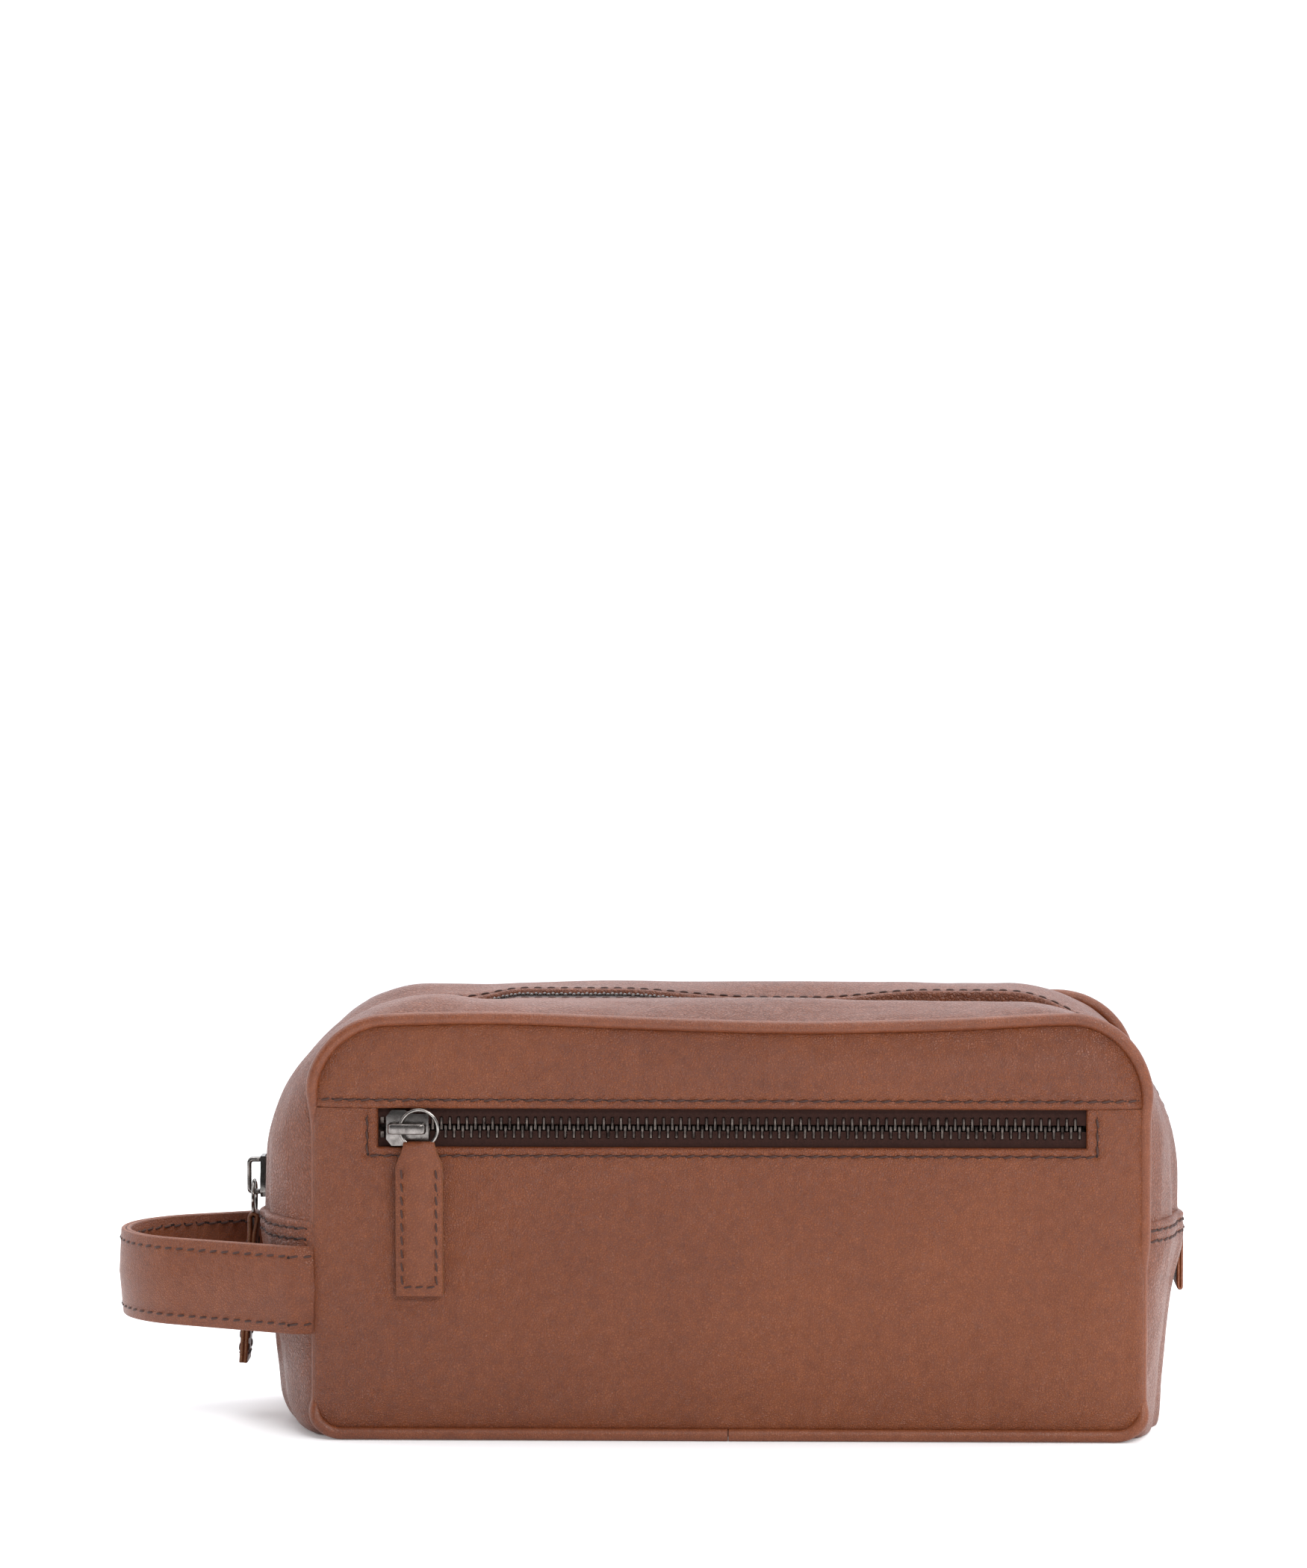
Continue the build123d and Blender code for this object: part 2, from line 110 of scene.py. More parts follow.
def object_noise(tree, scale, detail=3.0, roughness=0.55, distortion=0.0):
    """Noise in the object's own coordinates, a scale in features per metre; returns its output."""
    coords = tree.nodes.new("ShaderNodeTexCoord")
    node = tree.nodes.new("ShaderNodeTexNoise")
    tree.links.new(coords.outputs["Object"], node.inputs["Vector"])
    if isinstance(scale, bpy.types.NodeSocket):
        tree.links.new(scale, node.inputs["Scale"])
    else:
        node_input(node, "Scale", scale)
    node_input(node, "Detail", detail)
    node_input(node, "Roughness", roughness)
    node_input(node, "Distortion", distortion)
    return node.outputs["Fac"]


def weighted(tree, value, middle, weight):
    """A value's distance from its middle, times a weight."""
    return math_node(tree, "MULTIPLY", math_node(tree, "SUBTRACT", value, middle), weight)


def two_tones(tree, mask, dark, light, dark_from=0.0, light_from=1.0):
    """Colour that runs from dark to light as the mask rises; returns its output."""
    ramp = tree.nodes.new("ShaderNodeValToRGB")
    for element, colour, place in zip(ramp.color_ramp.elements, (dark, light), (dark_from, light_from)):
        element.color = (*colour, 1)
        element.position = place
    tree.links.new(mask, ramp.inputs["Fac"])
    return ramp.outputs["Color"]


def new_material(name):
    """Material, its node tree and its shader."""
    material = bpy.data.materials.new(name)
    material.use_nodes = True
    return material, material.node_tree, material.node_tree.nodes["Principled BSDF"]


def bump_on(tree, shader, height, strength, depth):
    bump = tree.nodes.new("ShaderNodeBump")
    node_input(bump, "Strength", strength)
    node_input(bump, "Distance", depth)
    tree.links.new(height, bump.inputs["Height"])
    tree.links.new(bump.outputs["Normal"], shader.inputs["Normal"])


def gloss_by(tree, shader, mask, dull, bright):
    gloss = tree.nodes.new("ShaderNodeMapRange")
    node_input(gloss, "To Min", dull)
    node_input(gloss, "To Max", bright)
    tree.links.new(mask, gloss.inputs["Value"])
    tree.links.new(gloss.outputs["Result"], shader.inputs["Roughness"])


def build_grain_group():
    """Pebbled leather: cells with creases between them, over softer folds; Tone is the dye's drift, darker
    along the cells' edges and paler along the creases.
    """
    group, given, made = new_group(
        "pebbled grain", {"Cells": 1500.0, "Creases": 0.5}, ("Height", "Tone", "Shine")
    )
    coords = group.nodes.new("ShaderNodeTexCoord")
    warp = group.nodes.new("ShaderNodeTexNoise")
    node_input(warp, "Scale", 420.0)
    node_input(warp, "Detail", 3.0)
    group.links.new(coords.outputs["Object"], warp.inputs["Vector"])
    bend = group.nodes.new("ShaderNodeVectorMath")
    bend.operation = "MULTIPLY_ADD"
    bend.inputs[1].default_value = (0.0014, 0.0014, 0.0014)
    group.links.new(warp.outputs["Color"], bend.inputs[0])
    group.links.new(coords.outputs["Object"], bend.inputs[2])
    cells = group.nodes.new("ShaderNodeTexVoronoi")
    cells.feature = "DISTANCE_TO_EDGE"
    group.links.new(bend.outputs[0], cells.inputs["Vector"])
    group.links.new(given.outputs["Cells"], cells.inputs["Scale"])
    pebble = math_node(group, "MINIMUM", math_node(group, "MULTIPLY", cells.outputs["Distance"], 4.0), 1.0)
    fine = object_noise(group, 3200.0, 3.0, 0.6)
    crease = object_noise(group, 170.0, 5.0, 0.6, 1.4)
    ridge = math_node(group, "ABSOLUTE", math_node(group, "SUBTRACT", crease, 0.5), 0.0)
    ridge = math_node(group, "MINIMUM", math_node(group, "MULTIPLY", ridge, 22.0), 1.0)
    height = math_node(group, "MULTIPLY", pebble, 0.5)
    height = math_node(group, "ADD", height, math_node(group, "MULTIPLY", fine, 0.3))
    fold = math_node(group, "MULTIPLY", ridge, given.outputs["Creases"])
    group.links.new(math_node(group, "ADD", height, fold), made.inputs["Height"])
    wide = weighted(group, object_noise(group, 11.0, 2.0), 0.5, 0.55)
    near = weighted(group, object_noise(group, 260.0, 4.0), 0.5, 0.45)
    # Tone darker along the cells' low edges and lighter on their tops.
    speck = weighted(group, pebble, 0.7, 0.34)
    tone = math_node(group, "ADD", math_node(group, "ADD", wide, near), speck)
    pale_line = math_node(group, "MULTIPLY", math_node(group, "SUBTRACT", 1.0, ridge), 0.10)
    tone = math_node(group, "ADD", math_node(group, "ADD", tone, pale_line), 0.47)
    group.links.new(tone, made.inputs["Tone"])
    group.links.new(math_node(group, "MULTIPLY", object_noise(group, 60.0), pebble), made.inputs["Shine"])
    return group


grain_group = build_grain_group()


def leather(name, deep, mid, pale, cells=1500.0, creases=0.4, relief=0.00034, rough=0.31):
    """Aniline-dyed leather: three tones of the same dye, pebbled, with a soft wax shine."""
    material, tree, shader = new_material(name)
    grain = tree.nodes.new("ShaderNodeGroup")
    grain.node_tree = grain_group
    node_input(grain, "Cells", cells)
    node_input(grain, "Creases", creases)
    ramp = tree.nodes.new("ShaderNodeValToRGB")
    ramp.color_ramp.elements[0].color = (*deep, 1)
    ramp.color_ramp.elements[0].position = 0.12
    ramp.color_ramp.elements[1].color = (*pale, 1)
    ramp.color_ramp.elements[1].position = 0.92
    ramp.color_ramp.elements.new(0.5).color = (*mid, 1)
    tree.links.new(grain.outputs["Tone"], ramp.inputs["Fac"])
    tree.links.new(ramp.outputs["Color"], shader.inputs["Base Color"])
    gloss_by(tree, shader, grain.outputs["Shine"], rough + 0.13, rough - 0.06)
    bump_on(tree, shader, grain.outputs["Height"], 0.75, relief)
    node_input(shader, "Specular IOR Level", 0.5)
    return material


body_leather = leather(
    "body leather", (0.104, 0.021, 0.004), (0.176, 0.039, 0.005), (0.262, 0.074, 0.018)
)


def make_piece(name, verts, faces, material, body, stands_for=(), sharp=48):
    """Mesh object from points and faces, smooth but for its sharp edges, riding on its body."""
    mesh = bpy.data.meshes.new(name)
    mesh.from_pydata([tuple(v) for v in verts], [], faces)
    tidy = bmesh.new()
    tidy.from_mesh(mesh)
    bmesh.ops.recalc_face_normals(tidy, faces=tidy.faces)
    tidy.to_mesh(mesh)
    tidy.free()
    mesh.polygons.foreach_set("use_smooth", [True] * len(mesh.polygons))
    mesh.set_sharp_from_angle(angle=math.radians(sharp))
    mesh.materials.append(material)
    piece = bpy.data.objects.new(name, mesh)
    bpy.context.scene.collection.objects.link(piece)
    if stands_for:
        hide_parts(*stands_for)
    if body:
        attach(piece, body)
    return piece


def skin(rows, columns, outer, inner, keep=lambda i, j: True):
    """Points and faces of a closed skin: a grid of outer points, one of inner points and the
    walls between them along every edge, holes included."""
    verts = [outer(i, j) for i in range(rows) for j in range(columns)]
    verts += [inner(i, j) for i in range(rows) for j in range(columns)]
    below = rows * columns
    faces = []
    edges = {}
    for i in range(rows - 1):
        for j in range(columns - 1):
            if not keep(i, j):
                continue
            here = i * columns + j
            corner = (here, here + 1, here + columns + 1, here + columns)
            faces.append(corner)
            faces.append(tuple(below + k for k in reversed(corner)))
            for a, b in zip(corner, corner[1:] + corner[:1]):
                edges[(a, b)] = edges.get((a, b), 0) + 1
    for a, b in edges:
        if (b, a) not in edges:
            faces.append((b, a, below + a, below + b))
    used = sorted({k for face in faces for k in face})
    place = {k: n for n, k in enumerate(used)}
    return [verts[k] for k in used], [tuple(place[k] for k in face) for face in faces]


def tube_faces(first, rings, sides):
    """Faces round and at both ends of a run of rings of points, the first point at index first."""
    faces = []
    for ring in range(rings - 1):
        a, b = first + ring * sides, first + (ring + 1) * sides
        for corner in range(sides):
            after = (corner + 1) % sides
            faces.append((a + corner, a + after, b + after, b + corner))
    last = first + (rings - 1) * sides
    faces.append(tuple(first + corner for corner in reversed(range(sides))))
    faces.append(tuple(last + corner for corner in range(sides)))
    return faces


def lines(low, high, step, special=(), extra=()):
    """Grid lines from low to high about step apart, with lines at and beside the special places and
    at the extra ones."""
    marks = {low, high, *extra}
    for place in special:
        for offset in (-1.2 * mm, -0.6 * mm, -0.2 * mm, 0.0, 0.2 * mm, 0.6 * mm, 1.2 * mm):
            if low <= place + offset <= high:
                marks.add(place + offset)
    marks = sorted(marks)
    found = [marks[0]]
    for a, b in zip(marks, marks[1:]):
        count = max(1, round((b - a) / step))
        found += [a + (b - a) * (k + 1) / count for k in range(count)]
    return [v for v, w in zip(found, found[1:] + [1e9]) if w - v > 1e-7]


edge_half = seam_half + 0.5 * mm
edge_low = seam_bottom - 0.2 * mm


def seam_half_at(z):
    """Half the width of a panel at height z, inside its round corners. A panel rolls out over its
    seam a little at the ends and the bottom."""
    rise = max(0.0, z - (seam_top - seam_top_radius))
    fall = max(0.0, edge_low + seam_low_radius - z)
    if rise > 0:
        return edge_half - seam_top_radius + math.sqrt(max(0.0, seam_top_radius**2 - rise**2))
    return edge_half - seam_low_radius + math.sqrt(max(0.0, seam_low_radius**2 - fall**2))


def from_seam(x, z):
    """Distance inside the panel's edge."""
    radius = seam_top_radius if z > (seam_top + edge_low) / 2 else seam_low_radius
    across = abs(x) - (edge_half - radius)
    up = abs(z - (seam_top + edge_low) / 2) - ((seam_top - edge_low) / 2 - radius)
    outside = math.hypot(max(across, 0), max(up, 0)) + min(max(across, up), 0) - radius
    return max(0.0, -outside)


def settle(point):
    """The top seam of the front sags a little in the middle; what is near it goes with it."""
    sag = 1.5 * math.exp(-(((point.x + 75 * mm) / (38 * mm)) ** 2))
    sag += 1.5 * math.exp(-(((point.x - 104 * mm) / (24 * mm)) ** 2))
    sag -= 1.2 * math.exp(-(((point.x - 22 * mm) / (40 * mm)) ** 2))
    near = smooth((point.z - 103 * mm) / (18 * mm)) * smooth((-18 * mm - point.y) / (22 * mm))
    return Vector((point.x, point.y, point.z + sag * mm * near))


def panel_x(x, z):
    """Draws the outer grid lines in to the seam where a corner is round."""
    spare = edge_half - seam_half_at(z)
    share = smooth((abs(x) - (edge_half - 60 * mm)) / (60 * mm))
    return x - math.copysign(spare * share, x)


def round_edge(distance, radius):
    """How far a folded edge has turned down at this distance from it."""
    if distance >= radius:
        return 0.0
    return radius - math.sqrt(max(0.0, radius**2 - (radius - distance) ** 2))


def groove(distance, depth=0.28 * mm, width=0.75 * mm):
    """Dent that a row of stitches pulls into the leather."""
    return depth * math.exp(-((distance / width) ** 2))


def panel_swell(x, z, quiet):
    """How far a panel stands out of its seam plane, with its soft unevenness; quiet is 0 to 1."""
    inside = from_seam(x, z)
    roll = math.sqrt(1 - (1 - min(inside / (2.6 * mm), 1)) ** 2)
    rise = 1.1 * mm * roll + 2.7 * mm * (1 - (1 - min(inside / (26 * mm), 1)) ** 2.4)
    gather = math.exp(-inside / (6 * mm)) * smooth(inside / (1.5 * mm))
    rise += ripple((x, 0, z), 150, 3) * 0.35 * mm * gather
    loose = 1 - quiet
    rise += ripple((x, 0, z), 28, 1) * 0.8 * mm * loose * smooth(inside / (10 * mm))
    rise += ripple((x, 0, z), 75, 2) * 0.2 * mm * loose * smooth(inside / (6 * mm))
    return rise


def near_pocket_pull(x, z):
    """1 where the pocket's puller lies on the panel, falling to 0 around it."""
    pull_low, pull_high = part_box("pocket_puller")
    beside = max(pull_low.x - x, x - pull_high.x, pull_low.z - z, 0)
    return 1 - smooth(beside / (14 * mm))


upper_stitch_z = fold_z + 2.6 * mm
frame_stitch_z = window_low_z - 2.6 * mm
frame_stitch_out = 3.3 * mm
upper_proud = 0.8 * mm


def upper_surface(x, z):
    x = panel_x(x, z)
    swell = panel_swell(x, z, 1 - smooth((z - fold_z - 4 * mm) / (8 * mm)))
    proud = upper_proud * smooth(from_seam(x, z) / (5 * mm)) * (1 - smooth((z - fold_z) / (14 * mm)))
    pillow = math.sin(math.pi * (z - fold_z) / (seam_top - fold_z)) * smooth(from_seam(x, z) / (12 * mm))
    swell += 1.9 * mm * pillow * smooth((x + 70 * mm) / (120 * mm))
    swell += proud - round_edge(z - fold_z, 1.0 * mm) - groove(z - upper_stitch_z)
    return settle(Vector((x, seam_y - swell, z)))


def window_distance(x, z):
    return max(window_left - x, x - window_right, window_low_z - z)


def lower_surface(x, z):
    x = panel_x(x, z)
    quiet = max(near_pocket_pull(x, z), smooth(1 - (window_distance(x, z) - 4 * mm) / (10 * mm)))
    swell = panel_swell(x, z, quiet)
    belly = smooth((x + 75 * mm) / (40 * mm)) * smooth((100 * mm - x) / (60 * mm))
    swell += 1.3 * mm * belly * smooth((z - 12 * mm) / (30 * mm)) * smooth((80 * mm - z) / (30 * mm))
    swell -= round_edge(window_distance(x, z), 1.0 * mm)
    if window_left - frame_stitch_out - mm < x < window_right + frame_stitch_out + mm:
        swell -= groove(z - frame_stitch_z)
    if z > frame_stitch_z - mm:
        swell -= groove(x - window_left + frame_stitch_out) + groove(x - window_right - frame_stitch_out)
    return Vector((x, seam_y - swell, z))


def panel_piece(name, xs, zs, surface, material, stands_for, keep=lambda i, j: True, flip=1):
    def outer(i, j):
        point = surface(xs[j], zs[i])
        return Vector((point.x, flip * point.y, point.z))

    def inner(i, j):
        point = outer(i, j)
        return point + Vector((0, flip * hide_thickness, 0))

    verts, faces = skin(len(zs), len(xs), outer, inner, keep)
    return make_piece(name, verts, faces, material, "bag", stands_for)


ends = (window_left, window_right)
end_rows = (window_left - frame_stitch_out, window_right + frame_stitch_out)


def rolled(edge, inward):
    """Close grid lines beside a rolled edge; inward is 1 or -1."""
    return [edge + inward * step * mm for step in (0.15, 0.5, 1.0, 1.7, 2.6)]


side_marks = rolled(-edge_half, 1) + rolled(edge_half, -1)
wide_lines = lines(-edge_half, edge_half, 2.2 * mm, ends + end_rows, side_marks)
upper_lines = lines(
    fold_z, seam_top, 1.6 * mm, (fold_z, upper_stitch_z), rolled(seam_top, -1))
lower_lines = lines(
    edge_low, fold_z, 2.0 * mm, (window_low_z, frame_stitch_z), rolled(edge_low, 1))


def not_window(i, j):
    middle_x = (wide_lines[j] + wide_lines[j + 1]) / 2
    middle_z = (lower_lines[i] + lower_lines[i + 1]) / 2
    return window_distance(middle_x, middle_z) > 0


panel_piece("front_upper_panel_leather", wide_lines, upper_lines, upper_surface, body_leather,
            ["front_upper_panel"])
panel_piece("front_lower_panel_leather", wide_lines, lower_lines, lower_surface, body_leather,
            ["front_lower_panel"], not_window)

# Back of the bag: one plain panel of the same hide, seamed and piped like the front.


def back_surface(x, z):
    x = panel_x(x, z)
    return Vector((x, seam_y - panel_swell(x, z, 0.0), z))


back_lines = lines(-edge_half, edge_half, 2.4 * mm, (), side_marks)
back_heights = lines(edge_low, seam_top, 2.4 * mm, (), rolled(edge_low, 1) + rolled(seam_top, -1))
panel_piece("back_panel_leather", back_lines, back_heights, back_surface, body_leather,
            ["back_panel"], flip=-1)

# Sewing: bonded dark brown thread, about four millimetres to a stitch. Each stitch lies proud of
# the leather in the middle and dives into its holes at both ends; each hole is drawn as a flat
# near-black disc, painted shade.
stitch_pitch = 4.15 * mm
stitch_length = 3.3 * mm
thread_radius = 0.36 * mm


def speckled(name, speck, dark, light, rough):
    """Plain finish of two close tones in small specks."""
    material, tree, shader = new_material(name)
    tree.links.new(two_tones(tree, object_noise(tree, speck), dark, light), shader.inputs["Base Color"])
    node_input(shader, "Roughness", rough)
    return material


thread = speckled("bonded thread", 1800.0, (0.020, 0.006, 0.004), (0.075, 0.024, 0.013), 0.62)
# Near-black discs over the stitch ends: painted shade in the holes.
painted_hole_shade = speckled("painted hole shade", 2500.0, (0.006, 0.002, 0.001), (0.030, 0.010, 0.006), 0.9)


def stitches(name, rows, body, pitch=stitch_pitch, scale=1.0):
    """One piece of many stitches; each row is a list of (point, outward normal), close together."""
    verts, faces, dark = [], [], []
    for row in rows:
        lengths = [0.0]
        for (a, _), (b, _) in zip(row, row[1:]):
            lengths.append(lengths[-1] + (b - a).length)
        count = max(1, round(lengths[-1] / pitch))
        step = lengths[-1] / count
        k = 0
        for index in range(count):
            centre = (index + 0.5) * step
            while k < len(lengths) - 2 and lengths[k + 1] < centre:
                k += 1
            share = (centre - lengths[k]) / (lengths[k + 1] - lengths[k])
            point = row[k][0].lerp(row[k + 1][0], share)
            up = row[k][1].lerp(row[k + 1][1], share).normalized()
            along = (row[k + 1][0] - row[k][0]).normalized()
            side = up.cross(along).normalized()
            first = len(verts)
            half = stitch_length * step / stitch_pitch / 2
            radius = thread_radius * scale
            skew = 0.16 + ripple(point, 900, 5) * 0.12
            for ring in range(6):
                t = ring / 5 * 2 - 1
                fat = radius * (1 - 0.62 * abs(t) ** 4)
                lift = radius * (0.75 - 1.5 * t**4)
                base = point + along * half * t + up * lift + side * (skew * t * half)
                for corner in range(6):
                    turn = corner * math.pi / 3
                    verts.append(base + side * (fat * math.cos(turn)) + up * (fat * math.sin(turn)))
            faces += tube_faces(first, 6, 6)
            # Each end gets a flat near-black disc over the hole: painted shade where the thread dives in.
            for end in (-1, 1):
                hole = point + along * end * half * 1.02 + side * (skew * half) + up * 0.04 * mm
                first = len(verts)
                for corner in range(8):
                    turn = corner * math.pi / 4
                    round_it = along * 0.52 * math.cos(turn) + side * 0.44 * math.sin(turn)
                    verts.append(hole + round_it * mm * scale)
                dark.append(len(faces))
                faces.append(tuple(range(first, first + 8)))
    piece = make_piece(name, verts, faces, thread, body, sharp=80)
    piece.data.materials.append(painted_hole_shade)
    for index in dark:
        piece.data.polygons[index].material_index = 1
    return piece


outward = Vector((0, -1, 0))
span = 60


def front_row(surface, start, end, inset=0.0):
    """Row across a front panel from start to end, each an (x, z)."""
    row = []
    for k in range(span + 1):
        x = start[0] + (end[0] - start[0]) * k / span
        z = start[1] + (end[1] - start[1]) * k / span
        row.append((surface(x, z) + Vector((0, inset, 0)), outward))
    return row


row_end = seam_half - 1.5 * mm
stitches("front_upper_panel_stitches", [
    front_row(upper_surface, (-row_end, upper_stitch_z), (row_end, upper_stitch_z))], "bag")
stitches("pocket_window_stitches", [
    front_row(lower_surface, (end_rows[0], fold_z - 2 * mm), (end_rows[0], frame_stitch_z)),
    front_row(lower_surface, (end_rows[0], frame_stitch_z), (end_rows[1], frame_stitch_z)),
    front_row(lower_surface, (end_rows[1], frame_stitch_z), (end_rows[1], fold_z - 2 * mm)),
], "bag")

# Gusset: the band between the panels. Two top strips meet along the main zip, each with a folded,
# topstitched edge; they run into the ends of a third strip that makes both lower ends and the base.
lip_inset = 1.8 * mm
lip_left = -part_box("gusset_top_front")[0].x - lip_inset
lip_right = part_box("gusset_top_front")[1].x - lip_inset
zip_edge_y = -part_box("gusset_top_front")[1].y
half_depth = -seam_y
crest_y = 24 * mm
crown_y = 15.2 * mm
zip_crown = 2.5 * mm
crest_top = seam_top + 7.2 * mm
shoulder_radius = 50 * mm
lip_shoulder_radius = 54.4 * mm
base_left_radius = 12 * mm
base_right_radius = 6.2 * mm
joint_z = 66.5 * mm
top_strip_start = 60 * mm
joint_rows = (2.8 * mm, 6.2 * mm)
folded_thickness = 2.2 * mm
seam_thickness = 0.6 * mm
chain_sink = 3.8 * mm
lip_turn_in = 1.3 * mm


def between(x, start, full, full_end, end):
    """1 from full to full_end, falling to 0 at start and end."""
    return smooth((x - start) / (full - start)) * smooth((end - x) / (end - full_end))


def lip_sink(x, side):
    """How far the zip and the strips' edges lie below the crest: level over the slack stretch at
    the left, and deepest where the strips gape at the right."""
    slack = between(x, -84 * mm, -64 * mm, -36 * mm, 10 * mm)
    gape = between(x, 26 * mm, 60 * mm, 90 * mm, 116 * mm)
    extra = 0.4 if side < 0 else -2.9 if side > 0 else 1.6
    return chain_sink + (extra * gape - 3.4 * slack) * mm


def gusset_section(y):
    """The gusset's outline at depth y: its shares of bulge, crown and sink, left and right ends,
    top, corner radii and bottom."""
    depth = abs(y)
    share = min(1.0, (half_depth - depth) / (half_depth - crest_y))
    bulge = math.sin(math.pi / 2 * max(0.0, share)) ** 0.8
    crown = smooth((crest_y - depth) / (crest_y - crown_y))
    sink = max(0.0, min(1.0, (crest_y - depth) / (crest_y - zip_edge_y))) ** 1.6
    left = seam_half + bulge * (lip_left - zip_crown - seam_half) + crown * zip_crown
    right = seam_half + bulge * (lip_right - zip_crown - seam_half) + crown * zip_crown
    top = seam_top + bulge * (crest_top - seam_top)
    radius = seam_top_radius + bulge * (shoulder_radius - seam_top_radius)
    radius += crown * (lip_shoulder_radius - shoulder_radius)
    low = seam_bottom * (1 - smooth((half_depth - depth) / (8 * mm)))
    low_left = seam_low_radius + bulge * (base_left_radius - seam_low_radius)
    low_right = seam_low_radius + bulge * (base_right_radius - seam_low_radius)
    return bulge, sink, left, right, top, radius, low, low_left, low_right


def over(y, share, start_z=top_strip_start, side=0):
    """Point and outward normal on the arch from the left end, over the top, to the right end; side
    is -1 on the front strip, 1 on the back strip and 0 on the zip, which follows its slider's arc."""
    _, sink, left, right, top, radius, _, _, _ = gusset_section(y)
    if side == 0:
        left += lip_inset
        top -= chain_sink
    rise = top - radius - start_z
    arc = radius * math.pi / 2
    flat = left + right - 2 * radius
    distance = share * (2 * rise + 2 * arc + flat)
    if distance < rise:
        x, z, nx, nz = -left, start_z + distance, -1.0, 0.0
    elif distance < rise + arc:
        turn = (distance - rise) / radius
        nx, nz = -math.cos(turn), math.sin(turn)
        x, z = radius - left + radius * nx, top - radius + radius * nz
    elif distance < rise + arc + flat:
        x, z, nx, nz = radius - left + distance - rise - arc, top, 0.0, 1.0
    elif distance < rise + 2 * arc + flat:
        turn = (distance - rise - arc - flat) / radius
        nx, nz = math.sin(turn), math.cos(turn)
        x, z = right - radius + radius * nx, top - radius + radius * nz
    else:
        x, z, nx, nz = right, start_z + 2 * rise + 2 * arc + flat - distance, 1.0, 0.0
    point = Vector((x, y, z))
    sunk = lip_sink(x, side) - (0.0 if side else chain_sink)
    point.z -= sink * sunk * max(0.0, nz) ** 2
    if side < 0:
        sag = between(x, -88 * mm, -74 * mm, -34 * mm, -5 * mm)
        sag += between(x, 20 * mm, 50 * mm, 94 * mm, 114 * mm)
        point.z -= 1.5 * mm * sag * smooth((half_depth + y) / (20 * mm)) * max(0.0, nz) ** 2
    if side and nx < 0:
        point.x += sink * lip_turn_in * nx**2
    return settle(point), Vector((nx, 0, nz))


def under(y, share):
    """Point, outward normal and distance from the joint on the trough, from left to right."""
    bulge, _, left, right, _, _, low, low_left, low_right = gusset_section(y)
    drop_left = joint_z - low - low_left
    drop_right = joint_z - low - low_right
    arc_left = low_left * math.pi / 2
    arc_right = low_right * math.pi / 2
    flat = left + right - low_left - low_right
    total = drop_left + arc_left + flat + arc_right + drop_right
    distance = share * total
    if distance < drop_left:
        x, z, nx, nz = -left, joint_z - distance, -1.0, 0.0
    elif distance < drop_left + arc_left:
        turn = (distance - drop_left) / low_left
        nx, nz = -math.cos(turn), -math.sin(turn)
        x, z = low_left - left + low_left * nx, low + low_left + low_left * nz
    elif distance < drop_left + arc_left + flat:
        x, z, nx, nz = low_left - left + distance - drop_left - arc_left, low, 0.0, -1.0
    elif distance < total - drop_right:
        turn = (distance - drop_left - arc_left - flat) / low_right
        nx, nz = math.sin(turn), -math.cos(turn)
        x, z = right - low_right + low_right * nx, low + low_right + low_right * nz
    else:
        x, z, nx, nz = right, joint_z - total + distance, 1.0, 0.0
    lean = 5.0 * mm * bulge * smooth((joint_z - z) / joint_z) * abs(nx)
    x -= math.copysign(lean, nx) if nx else 0.0
    return Vector((x, y, z)), Vector((nx, 0, nz)), min(distance, total - distance)


def top_lift(point, y, side):
    """Unevenness of a top strip: gathers at the panel seam, soft folds over the shoulders."""
    depth = abs(y)
    from_panel = half_depth - depth
    from_zip = depth - zip_edge_y
    lift = ripple((point.x, side, point.z), 150, 4) * 0.55 * mm * math.exp(-from_panel / (7 * mm))
    lift *= smooth(from_panel / (1.5 * mm))
    calm = smooth(from_panel / (10 * mm)) * smooth((from_zip - 3 * mm) / (8 * mm))
    lift += ripple(point, 26, 6) * 0.9 * mm * calm
    lift += ripple(point, 70, 7) * 0.35 * mm * calm
    shoulder = smooth((abs(point.x) - seam_half + 40 * mm) / (50 * mm))
    folds = ripple((point.x * 0.4, y * 2.2, point.z * 0.4), 60, 8)
    lift += folds * 0.8 * mm * calm * shoulder
    return lift


gusset_leather = leather(
    "gusset leather", (0.110, 0.026, 0.008), (0.175, 0.044, 0.013), (0.270, 0.086, 0.036),
    cells=850.0, creases=0.6, relief=0.00042,
)
top_stitch_y = zip_edge_y + 2.6 * mm
strip_steps = 260
for side, name in ((-1, "front"), (1, "back")):
    depths = lines(zip_edge_y, half_depth, 2.2 * mm, (zip_edge_y, top_stitch_y))

    def strip_point(i, j, inward=0.0, side=side, depths=depths):
        y = side * depths[j]
        point, normal = over(y, i / strip_steps, side=side)
        lift = top_lift(point, y, side)
        lift -= round_edge(depths[j] - zip_edge_y, 1.0 * mm) + groove(depths[j] - top_stitch_y)
        return point + normal * (lift - inward)

    def strip_inner(i, j, place=strip_point, depths=depths):
        thick = folded_thickness if depths[j] < top_stitch_y else hide_thickness
        if j == len(depths) - 1:
            thick = seam_thickness
        return place(i, j, thick)

    verts, faces = skin(strip_steps + 1, len(depths), strip_point, strip_inner)
    make_piece(f"gusset_top_{name}_leather", verts, faces, gusset_leather, "bag",
               [f"gusset_top_{name}"])
    row = []
    for k in range(strip_steps + 1):
        y = side * top_stitch_y
        point, normal = over(y, k / strip_steps, side=side)
        if point.z > joint_z:
            row.append((point - normal * 0.25 * mm, normal))
    stitches(f"gusset_top_{name}_stitches", [row], "bag")


